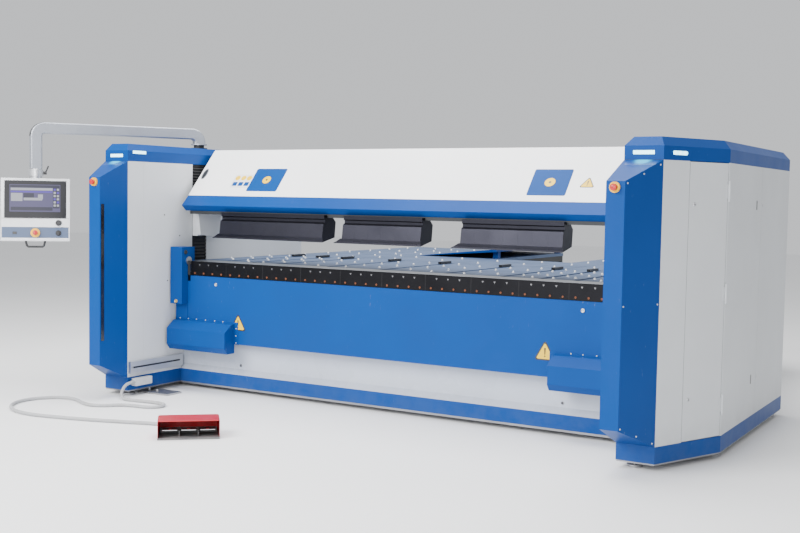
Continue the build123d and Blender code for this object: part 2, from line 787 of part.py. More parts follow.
# ---- feet, light guards, emergency stops ----
def make_small_parts():
    with BuildPart(floor) as levelling_feet:
        places = [(inner + 90, 110), (outer - 80, 700), (inner + 90, column_depth - 100), (outer - 80, column_depth - 100)]
        for side in (-1, 1):
            for x, y in places:
                rod_upright(side * x, y, 50, 0, 12)
                rod_upright(side * x, y, 10, 12, plinth_bottom - 10)
        block(-inner - 60, -inner + 245, 200, 380, 0, 14)
        rod_upright(-inner + 60, 290, 14, 14, 30)
        rod_upright(-inner - 30, 290, 10, 14, plinth_bottom - 10)
    save(levelling_feet, "levelling_feet")

    with BuildPart(floor) as light_curtains:
        block(
            inner - 2, inner + 34, curtain_front + running_gap, curtain_back - running_gap,
            curtain_bottom + running_gap, curtain_top - running_gap,
        )
        both_sides()
    save(light_curtains, "light_curtains")

    with BuildPart(floor) as scanner_boxes:
        block(inner - 28, inner, 6, 636, 189, 287)
        block(inner - 29, inner - 22, 30, 612, 232, 246, Mode.SUBTRACT)
        both_sides()
    save(scanner_boxes, "scanner_boxes")

    with BuildPart(floor) as stop_collars:
        with BuildSketch(facing(-nose_reach)):
            with Locations((stop_x, stop_z)):
                Circle(33)
                Circle(stop_bore, mode=Mode.SUBTRACT)
        extrude(amount=14)
        both_sides()
    save(stop_collars, "stop_collars")

    for side, name in ((-1, "left_stop_button"), (1, "right_stop_button")):
        with BuildPart(floor) as button:
            mushroom(facing(-nose_reach), side * stop_x, stop_z, 14, stop_bore - 1)
        save(button, name)


def mushroom(plane, x, y, collar, stem_radius):
    """An emergency stop's head on its stem: the head stands clear of the collar by its travel."""
    travel = 6
    disc(plane.offset(-8), x, y, stem_radius, 8 + collar + travel)
    disc(plane.offset(collar + travel), x, y, 20, 18)


# ---- control arm and panel ----
def panel_plane():
    """The panel's front: its own axes run to the panel's right and up, and it looks at the operator."""
    turn = radians(panel_turn)
    lean = radians(panel_tilt)
    right = Vector(cos(turn), sin(turn), 0)
    out = Vector(sin(turn) * cos(lean), -cos(turn) * cos(lean), sin(lean))
    origin = Vector(
        middle_x + drop_x + panel_forward * sin(turn), front_y + drop_y - panel_forward * cos(turn), panel_centre_z
    )
    return Plane(origin=origin, x_dir=right, z_dir=out)


def panel_disc(x, y, radius, start, end):
    """A round piece square to the panel's front."""
    disc(panel_plane().offset(start), x, y, radius, end - start)


def panel_box(x, y, width, height, start, end, mode=Mode.ADD):
    """A box square to the panel's front."""
    with BuildSketch(panel_plane().offset(start)) as section:
        with Locations((x, y)):
            Rectangle(width, height)
    extrude(section.sketch, amount=end - start, mode=mode)


def make_arm():
    with BuildPart(floor) as arm_socket:
        block(post_x - 70, post_x + 70, screw_y + 42, 1230, 1900, 1912)
        rod_upright(post_x, post_y, 46, 1912, swivel_z)
        rod_upright(post_x, post_y, 74, cap_top, cap_top + 14)
    save(arm_socket, "arm_socket")

    flange = 10
    start = Vector(middle_x + post_x, front_y + post_y, swivel_z + running_gap + flange)
    lift = Vector(0, 0, arm_height - start.Z)
    level = Vector(drop_x - post_x, drop_y - post_y, 0)
    drop = Vector(0, 0, drop_bottom - arm_height)
    heading = level.normalized()
    with BuildPart(floor) as swivel_arm:
        with BuildLine() as route:
            FilletPolyline(start, start + lift, start + lift + level, start + lift + level + drop, radius=72)
        with BuildSketch(Plane(origin=start, x_dir=heading, z_dir=(0, 0, 1))) as section:
            RectangleRounded(arm_tube, arm_tube, 12)
            RectangleRounded(arm_tube - 8, arm_tube - 8, 8, mode=Mode.SUBTRACT)
        sweep(section.sketch, path=route.wires()[0])
        with BuildSketch(Plane(origin=start)) as foot:
            Circle(0.75 * arm_tube)
        extrude(foot.sketch, amount=-flange)
    save(swivel_arm, "swivel_arm")

    screen_y = 86
    with BuildPart(floor) as panel_case:
        panel_box(0, 0, panel_width, panel_height, -panel_depth, 0)
        panel_box(0, 40, 320, 340, -panel_depth - 55, -panel_depth)
        panel_box(0, screen_y, 500, 319, -4, 0, Mode.SUBTRACT)
        disc(panel_plane(), 0, stop_drop, stop_bore + running_gap, -8, Mode.SUBTRACT)
        neck_bottom = panel_centre_z + 200
        rod_upright(drop_x, drop_y, 52, neck_bottom, drop_bottom - running_gap)
        panel_box(0, 0, 2 * panel_width, 2 * panel_height, 0, 80, Mode.SUBTRACT)
        rod_upright(drop_x, drop_y, 62, drop_bottom - 62, drop_bottom - 8)
    save(panel_case, "panel_case")

    with BuildPart(floor) as panel_screen:
        panel_box(0, screen_y, 500 - 2 * running_gap, 319 - 2 * running_gap, -4, 0.5)
    save(panel_screen, "panel_screen")

    with BuildPart(floor) as panel_handle:
        plane = panel_plane().offset(-panel_depth / 2)
        edge = -panel_height / 2
        points = [(-78, edge), (-66, edge - 48), (66, edge - 48), (78, edge)]
        path = [plane.from_local_coords((x, y, 0)) for x, y in points]
        with BuildLine() as grip:
            FilletPolyline(*path, radius=20)
        with BuildSketch(Plane(origin=path[0], z_dir=path[1] - path[0])) as section:
            Circle(9)
        sweep(section.sketch, path=grip.wires()[0])
        with BuildSketch(panel_plane().offset(-panel_depth)):
            with Locations((0, edge + 40)):
                Rectangle(panel_width, 80)
        extrude(amount=panel_depth, mode=Mode.SUBTRACT)
    save(panel_handle, "panel_handle")

    with BuildPart(floor) as panel_stop_button:
        mushroom(panel_plane(), 0, stop_drop, 14 - running_gap, stop_bore)
        panel_box(0, stop_drop, 60, 60, -20, 0, Mode.SUBTRACT)
    save(panel_stop_button, "panel_stop_button")

    with BuildPart(floor) as panel_stop_collar:
        panel_disc(0, stop_drop, 38, 0, 14)
        disc(panel_plane(), 0, stop_drop, stop_bore + running_gap, 20, Mode.SUBTRACT)
    save(panel_stop_collar, "panel_stop_collar")

    with BuildPart(floor) as panel_dial:
        panel_disc(186, -113, 22, running_gap, 20)
    save(panel_dial, "panel_dial")

    with BuildPart(floor) as mode_switch:
        panel_disc(186, stop_drop, 19, running_gap, 10)
        panel_box(186, stop_drop, 10, 34, 10, 24)
    save(mode_switch, "mode_switch")

    with BuildPart(floor) as clamp_lever:
        turn = radians(panel_turn)
        out = Vector(cos(turn), sin(turn), 0)
        hub = Vector(middle_x + drop_x, front_y + drop_y, drop_bottom - 36)
        root = hub + out * (62 + running_gap)
        with BuildSketch(Plane(origin=root, z_dir=out)):
            Circle(13)
        extrude(amount=26)
        tip = root + out * 26 + Vector(0, 0, 62)
        with BuildSketch(Plane(origin=root + out * 14, z_dir=tip - root)):
            Circle(6)
        extrude(amount=66)
    save(clamp_lever, "clamp_lever")


# ---- foot switch and its conduit ----
def pedal_plane(z=0):
    """The foot switch's own frame on the floor: X to its right, Y to its back."""
    turn = radians(pedal_turn)
    return Plane(
        origin=(middle_x + pedal_x, front_y + pedal_y, z), x_dir=(cos(turn), sin(turn), 0), z_dir=(0, 0, 1)
    )


def pedal_side(x):
    """A plane across the foot switch at x: its own axes run to the switch's back and up."""
    plane = pedal_plane()
    return Plane(origin=plane.from_local_coords((x, 0, 0)), x_dir=plane.y_dir, z_dir=plane.x_dir)


def make_foot_switch():
    half = pedal_width / 2
    back = pedal_length / 2
    wall = 4
    pitch = 128
    with BuildPart(pedal_plane()) as pedal_base:
        with Locations((0, 0, 6)):
            Box(pedal_width, pedal_length, 12)
        for x in (-pitch / 2, pitch / 2):
            with Locations((x, 10, 32)):
                Box(4, 150, 40)
        with Locations((0, 76, 30)):
            Box(pedal_width - 30, 22, 36)
        with BuildSketch(pedal_side(-1.5 * pitch)) as section:
            with Locations((pedal_pin_y, pedal_pin_z)):
                Circle(pedal_pin_radius)
        extrude(section.sketch, amount=3 * pitch)
    save(pedal_base, "pedal_base")

    guard_height = pedal_height - 12
    with BuildPart(pedal_plane(12)) as pedal_guard:
        with BuildSketch(pedal_plane(12)):
            RectangleRounded(pedal_width, pedal_length, 18)
        extrude(amount=guard_height)
        fillet(pedal_guard.faces().sort_by(Axis.Z)[-1].edges(), 10)
        with BuildSketch(pedal_plane(12)):
            RectangleRounded(pedal_width - 2 * wall, pedal_length - 2 * wall, 18 - wall)
        extrude(amount=guard_height - wall, mode=Mode.SUBTRACT)
        with Locations((0, -back, (guard_height - wall) / 2)):
            Box(pedal_width - 2 * wall, 60, guard_height - wall, mode=Mode.SUBTRACT)
    save(pedal_guard, "pedal_guard")

    for x, name in ((-pitch, "left_pedal"), (0, "middle_pedal"), (pitch, "right_pedal")):
        with BuildPart(pedal_plane()) as pedal:
            rear = 62
            profile = [(rear, 34), (-74, 52), (-78, 62), (-70, 64), (rear, 48)]
            with BuildSketch(pedal_side(x - 50)) as section:
                with BuildLine():
                    Polyline(*profile, close=True)
                make_face()
                with Locations((pedal_pin_y, pedal_pin_z)):
                    Circle(pedal_pin_radius + running_gap, mode=Mode.SUBTRACT)
            extrude(section.sketch, amount=100)
        save(pedal, name)


def conduit_route():
    """The foot switch's conduit: down from its socket, round on the floor, and in at the back of the switch."""
    low = conduit_radius + 1
    points = [
        (-2066, 24, 115), (-2066, -22, 115), (-2064, -70, 88), (-2050, -112, 42), (-2002, -142, low),
        (-1940, -150, low),
        (-1860, -140, low), (-1725, -118, low), (-1598, -112, low), (-1530, -164, low),
        (-1532, -245, low), (-1592, -300, low), (-1715, -305, low), (-1830, -345, low),
        (-1905, -440, low), (-2010, -490, low), (-2140, -450, low), (-2275, -378, low),
        (-2415, -372, low), (-2525, -455, low), (-2585, -590, low), (-2562, -745, low),
        (-2455, -885, low), (-2290, -978, low), (-2090, -1002, low), (-1860, -958, low),
        (-1585, -884, low), (-1335, -800, low), (-1150, -728, low), (-1040, -708, low),
        (-965, -757, 16), (-926.6, -815.2, 22), (-898.7, -846.6, 22),
    ]
    return [Vector(middle_x + x, front_y + y, z) for x, y, z in points]


def arc_radii(points):
    """Each corner's arc takes 0.45 of its shorter run on either side."""
    radii = []
    for before, here, after in zip(points, points[1:], points[2:]):
        turn = radians((here - before).get_angle(after - here))
        run = min((here - before).length, (after - here).length)
        radii.append(0.45 * run / tan(turn / 2))
    return radii


def make_conduit():
    points = conduit_route()
    radii = arc_radii(points)
    print("conduit arc radii, mm:", [round(r) for r in radii])
    with BuildPart() as conduit:
        with BuildLine() as route:
            FilletPolyline(*points, radius=radii)
        with BuildSketch(Plane(origin=points[0], z_dir=points[1] - points[0])) as section:
            Circle(conduit_radius)
        sweep(section.sketch, path=route.wires()[0])
    length = sum(edge.length for edge in route.edges())
    print(f"conduit length {length:.0f} mm, volume over section times length:",
          round(conduit.part.volume / (pi * conduit_radius**2 * length), 4))
    save(conduit, "conduit")

    with BuildPart() as conduit_glands:
        with BuildSketch(Plane(origin=points[0], z_dir=points[0] - points[1])):
            Circle(18)
        extrude(amount=26)
        with BuildSketch(Plane(origin=points[-1], z_dir=points[-1] - points[-2])):
            Circle(18)
        extrude(amount=31.8)
    save(conduit_glands, "conduit_glands")

    with BuildPart(floor) as socket_box:
        block(-inner, -inner + 46, 50, 240, 84, 146)
    save(socket_box, "socket_box")


os.makedirs("parts", exist_ok=True)
make_columns()
make_doors()
make_lower_beam()
make_bending_beam()
make_upper_beam()
make_bellows()
make_table()
make_small_parts()
make_arm()
make_foot_switch()
make_conduit()
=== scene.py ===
import bpy
import numpy as np
from mathutils import Matrix, Vector


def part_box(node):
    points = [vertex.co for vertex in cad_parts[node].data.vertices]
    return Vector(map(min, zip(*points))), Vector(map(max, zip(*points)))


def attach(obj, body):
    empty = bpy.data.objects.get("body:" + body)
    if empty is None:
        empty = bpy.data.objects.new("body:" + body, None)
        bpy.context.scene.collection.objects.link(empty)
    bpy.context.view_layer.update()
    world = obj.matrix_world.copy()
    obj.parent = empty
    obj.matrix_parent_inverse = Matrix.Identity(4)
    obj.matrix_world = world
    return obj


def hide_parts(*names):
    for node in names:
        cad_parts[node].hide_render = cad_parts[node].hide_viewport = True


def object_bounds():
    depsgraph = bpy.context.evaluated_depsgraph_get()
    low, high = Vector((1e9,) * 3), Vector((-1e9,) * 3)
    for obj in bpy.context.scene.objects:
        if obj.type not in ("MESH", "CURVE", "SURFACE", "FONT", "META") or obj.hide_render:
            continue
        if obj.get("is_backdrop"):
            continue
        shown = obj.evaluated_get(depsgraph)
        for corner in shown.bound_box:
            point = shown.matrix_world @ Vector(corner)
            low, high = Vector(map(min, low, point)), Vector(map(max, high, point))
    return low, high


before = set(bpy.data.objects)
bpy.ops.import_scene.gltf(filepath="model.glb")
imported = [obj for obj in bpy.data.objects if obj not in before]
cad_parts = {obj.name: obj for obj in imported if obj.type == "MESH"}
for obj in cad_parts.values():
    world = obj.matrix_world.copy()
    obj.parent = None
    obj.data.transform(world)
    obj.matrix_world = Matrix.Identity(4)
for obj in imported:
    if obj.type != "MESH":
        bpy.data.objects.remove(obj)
cad_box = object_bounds()

# The machine's own corner: its middle plane, the front of its plinths, and the floor. Places in
# the sections below are millimetres from that corner.
beam_low, beam_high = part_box("lower_beam")
plinth_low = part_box("plinth_panels")[0]
corner = np.array([(beam_low[0] + beam_high[0]) / 2, plinth_low[1], 0.0])


def spot(x, y, z):
    """A place in the frame, in metres: the corner plus the millimetres given."""
    return corner + np.array([x, y, z]) / 1000


# ---------------------------------------------------------------------------------------------
# The operator's view: a person's eye to the right of the machine, looking back and to the left
# along the bend line, with the head a little tilted.
# ---------------------------------------------------------------------------------------------
yaw, pitch, roll = np.radians([30.65, 3.56, 0.98])
ahead = Vector((-np.sin(yaw) * np.cos(pitch), np.cos(yaw) * np.cos(pitch), -np.sin(pitch)))
level_right = Vector((np.cos(yaw), np.sin(yaw), 0))
level_up = level_right.cross(ahead)
right = np.cos(roll) * level_right + np.sin(roll) * level_up
up = -np.sin(roll) * level_right + np.cos(roll) * level_up
eye = spot(4418.9, -6628.6, 1670)
view = bpy.data.cameras.new("view")
view.lens = 49.89
view.clip_end = 100
camera = bpy.data.objects.new("view", view)
turned = Matrix((right, up, -ahead)).transposed().to_4x4()
camera.matrix_world = Matrix.Translation(eye) @ turned
bpy.context.collection.objects.link(camera)
bpy.context.scene.camera = camera

# ---------------------------------------------------------------------------------------------
# The foot switch's conduit: a corrugated plastic hose of 26 mm, 4 m long, that drops from its box
# on the left column and lies on the floor in loose curves. Its ridges are rings of the moulding.
# ---------------------------------------------------------------------------------------------
hose_radius = 0.013
ridge_pitch = 0.0085
ridge_depth = 0.06
low = 14
hose_route = [
    (-2066, 24, 115), (-2066, -22, 115), (-2064, -70, 88), (-2050, -112, 42), (-2002, -142, low),
    (-1940, -150, low), (-1860, -140, low), (-1725, -118, low), (-1598, -112, low), (-1530, -164, low),
    (-1532, -245, low), (-1592, -300, low), (-1715, -305, low), (-1830, -345, low),
    (-1905, -440, low), (-2010, -490, low), (-2140, -450, low), (-2275, -378, low),
    (-2415, -372, low), (-2525, -455, low), (-2585, -590, low), (-2562, -745, low),
    (-2455, -885, low), (-2290, -978, low), (-2090, -1002, low), (-1860, -958, low),
    (-1585, -884, low), (-1335, -800, low), (-1150, -728, low), (-1040, -708, low),
    (-965, -757, 16), (-926.6, -815.2, 22), (-898.7, -846.6, 22),
]
hose_points = np.array([spot(*p) for p in hose_route])


def smooth_line(points):
    """The route's own smooth line: a quadratic NURBS with the route's points as control points."""
    curve = bpy.data.curves.new("route", "CURVE")
    curve.dimensions = "3D"
    curve.resolution_u = 24
    spline = curve.splines.new("NURBS")
    spline.points.add(len(points) - 1)
    spline.points.foreach_set("co", np.c_[points, np.ones(len(points))].ravel())
    spline.order_u = 3
    spline.use_endpoint_u = True
    holder = bpy.data.objects.new("route", curve)
    mesh = bpy.data.meshes.new_from_object(holder)
    line = np.empty(len(mesh.vertices) * 3)
    mesh.vertices.foreach_get("co", line)
    bpy.data.objects.remove(holder)
    return line.reshape(-1, 3)


def even_steps(line, step):
    """Points along a line at equal steps of arc length, and its whole length."""
    run = np.r_[0, np.cumsum(np.linalg.norm(np.diff(line, axis=0), axis=1))]
    along = np.linspace(0, run[-1], int(run[-1] / step) + 1)
    return np.stack([np.interp(along, run, line[:, k]) for k in range(3)], 1), along, run[-1]


def new_piece(name, points, faces, uv=None, smooth=True):
    """A mesh object at the origin, with its place in its mesh. uv holds one pair for each vertex."""
    mesh = bpy.data.meshes.new(name)
    mesh.from_pydata(points.tolist(), [], faces)
    if uv is not None:
        layer = mesh.uv_layers.new(name="along")
        corners = np.empty(len(mesh.loops), dtype=np.int32)
        mesh.loops.foreach_get("vertex_index", corners)
        layer.data.foreach_set("uv", uv[corners].astype(np.float32).ravel())
    mesh.polygons.foreach_set("use_smooth", np.full(len(mesh.polygons), smooth))
    mesh.update()
    piece = bpy.data.objects.new(name, mesh)
    bpy.context.collection.objects.link(piece)
    return piece


def grid_faces(rows, columns, closed_rows=False, closed_columns=True, first=0):
    """The quads of a grid of rows by columns, joined round along its columns or rows where closed."""
    i = np.arange(rows if closed_rows else rows - 1)[:, None]
    j = np.arange(columns if closed_columns else columns - 1)[None, :]
    a = i * columns + j
    b = i * columns + (j + 1) % columns
    c = ((i + 1) % rows) * columns + (j + 1) % columns
    d = ((i + 1) % rows) * columns + j
    return (np.stack([a, b, c, d], -1).reshape(-1, 4) + first).tolist()


def ridged_hose(name, line, radius, sides=14):
    """A hose about a line: each ring has the radius times 1 - depth (1 - cos(turns of the ridge))."""
    points, along, length = even_steps(line, ridge_pitch / 4)
    tangent = np.gradient(points, axis=0)
    tangent /= np.linalg.norm(tangent, axis=1)[:, None]
    side = np.cross(tangent, [0, 0, 1])
    side /= np.linalg.norm(side, axis=1)[:, None]
    rise = np.cross(side, tangent)
    swell = radius * (1 - ridge_depth * (1 - np.cos(2 * np.pi * along / ridge_pitch)))
    angle = np.linspace(0, 2 * np.pi, sides, endpoint=False)
    ring = side[:, None] * np.cos(angle)[None, :, None] + rise[:, None] * np.sin(angle)[None, :, None]
    tube = points[:, None] + ring * swell[:, None, None]
    faces = grid_faces(len(points), sides)
    faces.append(list(range(sides))[::-1])
    faces.append(list(range((len(points) - 1) * sides, len(points) * sides)))
    uv = np.stack(np.broadcast_arrays(along[:, None], angle[None, :]), -1).reshape(-1, 2)
    return new_piece(name, tube.reshape(-1, 3), [f[::-1] for f in faces], uv), points, length


hose, hose_line, hose_length = ridged_hose("conduit_hose", smooth_line(hose_points), hose_radius)
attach(hose, "machine")
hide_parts("conduit")


# ---------------------------------------------------------------------------------------------
# Finishes. Each is worked out from the place on the metal, in metres, so a brush mark or a speck
# of dust keeps its size on every piece.
# ---------------------------------------------------------------------------------------------
class Amount:
    """A number that varies over a surface: + - * and powers on it add the shader's Math nodes."""

    def __init__(self, finish, socket):
        self.finish = finish
        self.socket = socket

    def maths(self, operation, *values):
        """One Math node on numbers or amounts."""
        return self.finish.number("ShaderNodeMath", {"operation": operation}, *values)

    def __add__(self, other):
        return self.maths("ADD", self, other)

    def __sub__(self, other):
        return self.maths("SUBTRACT", self, other)

    def __rsub__(self, other):
        return self.maths("SUBTRACT", other, self)

    def __mul__(self, other):
        return self.maths("MULTIPLY", self, other)

    def __pow__(self, other):
        return self.maths("POWER", self, other)

    def above(self, edge, soft):
        """0 under the edge, 1 over it, with a soft step between."""
        smooth = {"interpolation_type": "SMOOTHSTEP"}
        return self.finish.number("ShaderNodeMapRange", smooth, self, edge - soft, edge + soft, 0.0, 1.0)

    __radd__ = __add__
    __rmul__ = __mul__


class Finish:
    """One material: its shader, and the nodes that feed it."""

    def __init__(self, name):
        self.material = bpy.data.materials.new(name)
        self.material.use_nodes = True
        self.tree = self.material.node_tree
        self.tree.nodes.clear()
        self.shader = self.tree.nodes.new("ShaderNodeBsdfPrincipled")
        output = self.tree.nodes.new("ShaderNodeOutputMaterial")
        self.tree.links.new(self.shader.outputs[0], output.inputs[0])
        self.place = self.node("ShaderNodeTexCoord").outputs["Object"]

    def node(self, kind, settings=None, *values, **named):
        """A node of a kind, with its settings, and the values or links of its sockets."""
        node = self.tree.nodes.new(kind)
        for key, value in (settings or {}).items():
            if key == "stops":
                ramp = node.color_ramp
                while len(ramp.elements) < len(value):
                    ramp.elements.new(0.5)
                for element, (position, colour) in zip(ramp.elements, value):
                    element.position = position
                    element.color = (*colour, 1)
            else:
                setattr(node, key, value)
        by_name = [(node.inputs[key], value) for key, value in named.items()]
        for socket, value in [*zip(node.inputs, values), *by_name]:
            self.feed(socket, value)
        return node

    def feed(self, socket, value):
        """Links a socket to an amount or another socket, or sets it to a plain value."""
        if isinstance(value, Amount):
            value = value.socket
        if isinstance(value, bpy.types.NodeSocket):
            self.tree.links.new(value, socket)
        else:
            socket.default_value = value

    def number(self, kind, settings=None, *values, **named):
        """A node's first output, as an amount."""
        return Amount(self, self.node(kind, settings, *values, **named).outputs[0])

    def stretched(self, scale):
        """The place on the metal with each axis scaled, for marks that run one way."""
        return self.node("ShaderNodeMapping", None, self.place, Scale=scale).outputs[0]

    def noise(self, scale, detail=3.0, stretch=None, rough=0.5):
        """Uneven patches from 0 to 1, with that many to the metre."""
        place = self.place if stretch is None else self.stretched(stretch)
        return self.number(
            "ShaderNodeTexNoise", None, Vector=place, Scale=scale, Detail=detail, Roughness=rough
        )

    def mix(self, amount, first, second):
        """A colour between two, by an amount."""
        node = self.node("ShaderNodeMix", {"data_type": "RGBA"})
        self.feed(node.inputs[0], amount)
        self.feed(node.inputs[6], first if not isinstance(first, tuple) else (*first, 1))
        self.feed(node.inputs[7], second if not isinstance(second, tuple) else (*second, 1))
        return node.outputs[2]

    def bump(self, height, distance, strength=1.0):
        """Small relief: the height times the distance, in metres."""
        node = self.node("ShaderNodeBump", None, Strength=strength, Distance=distance)
        self.feed(node.inputs["Height"], height)
        self.feed(self.shader.inputs["Normal"], node.outputs[0])

    def set(self, **values):
        """Sets or links the shader's own sockets, with _ for each space in a socket's name."""
        for key, value in values.items():
            name = key.replace("_", " ")
            self.feed(self.shader.inputs[name], (*value, 1) if isinstance(value, tuple) else value)


def powder_coat(name, colour, shade=0.9, gloss=0.36, dust=0.10, shine=0.3):
    """Powder-coated sheet steel: an orange-peel skin, slow changes of tone, and dust and light scuffs."""
    finish = Finish(name)
    tone = finish.noise(1.7, 4.0)
    darker = tuple(c * shade for c in colour)
    paint = finish.mix(tone.above(0.5, 0.22), darker, colour)
    scuff = finish.noise(38, 6.0, (1.0, 1.0, 0.25), 0.7).above(0.70, 0.05)
    scuff = scuff * finish.noise(2.3, 2.0).above(0.52, 0.1)
    paint = finish.mix(scuff * 0.35, paint, tuple(min(1, 0.5 * c + 0.4) for c in colour))
    height = Amount(finish, finish.node("ShaderNodeSeparateXYZ", None, finish.place).outputs[2])
    grime = (1 - height.above(0.16, 0.16)) * finish.noise(9, 5.0, None, 0.65).above(0.45, 0.2)
    paint = finish.mix(grime * (4 * dust), paint, (0.30, 0.28, 0.26))
    finish.set(Base_Color=paint, Roughness=finish.noise(5, 3.0) * 0.12 + scuff * 0.2 + gloss)
    finish.set(Specular_IOR_Level=shine)
    finish.bump(finish.noise(260, 2.0) + scuff * -0.4, 0.00025, 0.5)
    return finish.material


def worked_steel(name, colour, marks=(1.0, 24.0, 24.0), roughness=0.34, scratch=0.35, metal=1.0, shine=0.5):
    """Ground or brushed steel: fine marks all one way, with oil stains and a few bright scratches."""
    finish = Finish(name)
    lines = finish.noise(55, 5.0, marks, 0.7)
    stain = finish.noise(3.1, 5.0, None, 0.6)
    bright = tuple(min(1, c * 1.35 + 0.02) for c in colour)
    steel = finish.mix(lines * scratch, colour, bright)
    steel = finish.mix(stain.above(0.56, 0.16) * 0.35, steel, tuple(c * 0.62 for c in colour))
    finish.set(Base_Color=steel, Metallic=metal, Specular_IOR_Level=shine)
    finish.set(Roughness=lines * 0.18 + stain * 0.16 + (roughness - 0.16))
    finish.bump(lines, 0.0002, 0.45)
    return finish.material


def moulded(name, colour, roughness=0.42, grain=600, coat=0.0):
    """Moulded plastic or rubber: a fine spark-eroded grain, and a little wear to its gloss."""
    finish = Finish(name)
    wear = finish.noise(14, 5.0, None, 0.6)
    body = finish.mix(wear.above(0.58, 0.15) * 0.35, colour, tuple(min(1, c * 1.25 + 0.015) for c in colour))
    finish.set(Base_Color=body, Roughness=wear * 0.16 + (roughness - 0.08))
    finish.set(Coat_Weight=coat, Coat_Roughness=0.08)
    finish.bump(finish.noise(grain, 2.0), 0.00015, 0.5)
    return finish.material


def dress(material, *nodes):
    """Gives CAD nodes a finish."""
    for node in nodes:
        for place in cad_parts[node].material_slots:
            place.material = material


hose_finish = Finish("grey_hose")
hose_uv = hose_finish.node("ShaderNodeUVMap", {"uv_map": "along"}).outputs[0]
hose_run = Amount(hose_finish, hose_finish.node("ShaderNodeSeparateXYZ", None, hose_uv).outputs[0])
# Painted shade: the hose turns near-black grey in the valleys between its ridges, where shade falls, and stays
# pale grey on the ridge tops.
valley_shade_wave = hose_finish.number("ShaderNodeMath", {"operation": "COSINE"}, hose_run * (2 * np.pi / ridge_pitch))
hose_colour_and_valley_shade = hose_finish.mix((1 - valley_shade_wave) * 0.38, (0.50, 0.51, 0.52), (0.15, 0.15, 0.16))
hose_dirt = hose_finish.noise(7, 4.0).above(0.55, 0.15) * 0.4
hose_colour_and_valley_shade = hose_finish.mix(hose_dirt, hose_colour_and_valley_shade, (0.30, 0.29, 0.28))
hose_finish.set(Base_Color=hose_colour_and_valley_shade, Roughness=hose_finish.noise(30, 3.0) * 0.2 + 0.4)
hose_finish.bump(hose_finish.noise(300, 2.0), 0.0002, 0.4)
hose.data.materials.append(hose_finish.material)
dress(moulded("gland_grey", (0.33, 0.34, 0.35)), "conduit_glands")

# ---------------------------------------------------------------------------------------------
# The columns: folded sheet casings and noses in pale grey powder coat, under a blue cap and over a
# blue plinth. Behind them stand the welded frames, rails, screws and motors.
# ---------------------------------------------------------------------------------------------
pale_grey = powder_coat("pale_grey_coat", (0.60, 0.62, 0.64), 0.94)
blue_colour = (0.0, 0.047, 0.225)
machine_blue = powder_coat("machine_blue_coat", blue_colour, 0.92, 0.34, 0.015, 0.12)
dark_coat = powder_coat("dark_coat", (0.022, 0.024, 0.028), 0.8, 0.42, 0.05)
frame_steel = worked_steel("frame_steel", (0.30, 0.30, 0.32), (2.0, 2.0, 2.0), 0.5)
ground_steel = worked_steel("ground_steel", (0.50, 0.50, 0.52))
dress(pale_grey, "column_casings", "left_door", "right_door", "socket_box", "beam_carriages")
dress(machine_blue, "column_noses", "column_caps", "plinth_panels")
dress(frame_steel, "column_frames", "upper_beam", "lower_beam")
dress(ground_steel, "linear_rails", "left_ball_screw", "right_ball_screw", "pivot_shafts")
dress(dark_coat, "lift_motors", "bending_motors", "bearing_blocks", "tool_rail", "arm_socket")
dress(moulded("bellows_rubber", (0.014, 0.014, 0.016), 0.6), "lower_bellows", "upper_bellows")

# Each column starts at inner from the middle. Its nose and its slanted side, with the door, widen it.
inner = 1000 * (beam_high[0] - beam_low[0]) / 2
nose_width, column_width, slant_depth = 250, 502, 585
slant = (column_width - nose_width) / slant_depth
slope = np.array([1, -slant, 0]) / np.hypot(1, slant)
nose_reach, nose_top, cap_bottom = 306, 1790, 1927


def turned_pieces(name, places, directions, profile, sides=18):
    """Small turned parts in one mesh. The profile, as radii and heights, is spun about each direction:
    a point is its place + radius (u cos a + v sin a) + height w."""
    places = np.atleast_2d(places)
    w = np.broadcast_to(np.asarray(directions, float), places.shape)
    w = w / np.linalg.norm(w, axis=1)[:, None]
    helper = np.where(np.abs(w[:, 2:]) > 0.9, [[1.0, 0, 0]], [[0, 0, 1.0]])
    u = np.cross(helper, w)
    u /= np.linalg.norm(u, axis=1)[:, None]
    v = np.cross(w, u)
    angle = np.linspace(0, 2 * np.pi, sides, endpoint=False)
    spin = u[:, None] * np.cos(angle)[None, :, None] + v[:, None] * np.sin(angle)[None, :, None]
    r, h = (np.array(profile) / 1000).T
    rings = spin[:, None] * r[None, :, None, None]
    heights = w[:, None, None] * h[None, :, None, None]
    points = places[:, None, None] + rings + heights
    faces = []
    rows = len(profile)
    for k in range(len(places)):
        first = k * rows * sides
        faces += grid_faces(rows, sides, first=first)
        faces.append([first + s for s in range(sides)][::-1])
        faces.append([first + (rows - 1) * sides + s for s in range(sides)])
    return new_piece(name, points.reshape(-1, 3), faces)


def finish_piece(piece, material, body):
    """Gives a new piece its finish, and the body that it rides on."""
    piece.data.materials.append(material)
    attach(piece, body)
    return piece


# A button-head screw: a dome with the hexagon's recess in its middle.
button_head = [(6.0, -0.5), (6.0, 0.6), (5.4, 2.0), (3.9, 2.9), (2.6, 3.1), (2.3, 1.6), (0.4, 1.4)]
screw_steel = worked_steel("screw_steel", (0.58, 0.58, 0.60), (1, 1, 1), 0.28)
black_screw = moulded("black_oxide", (0.012, 0.012, 0.013), 0.45)
nose_screws = [
    (-292, 1043), (-15, 1044), (-290, 304), (-157, 244), (-25, 184), (-286, 1778), (-157, 1836), (-24, 1896),
]
places = [spot(side * (inner + nose_width + slant * y), y, z) for side in (-1, 1) for y, z in nose_screws]
ways = [(side * slope[0], slope[1], 0) for side in (-1, 1) for screw in nose_screws]
finish_piece(turned_pieces("nose_screws", places, ways, button_head), screw_steel, "machine")

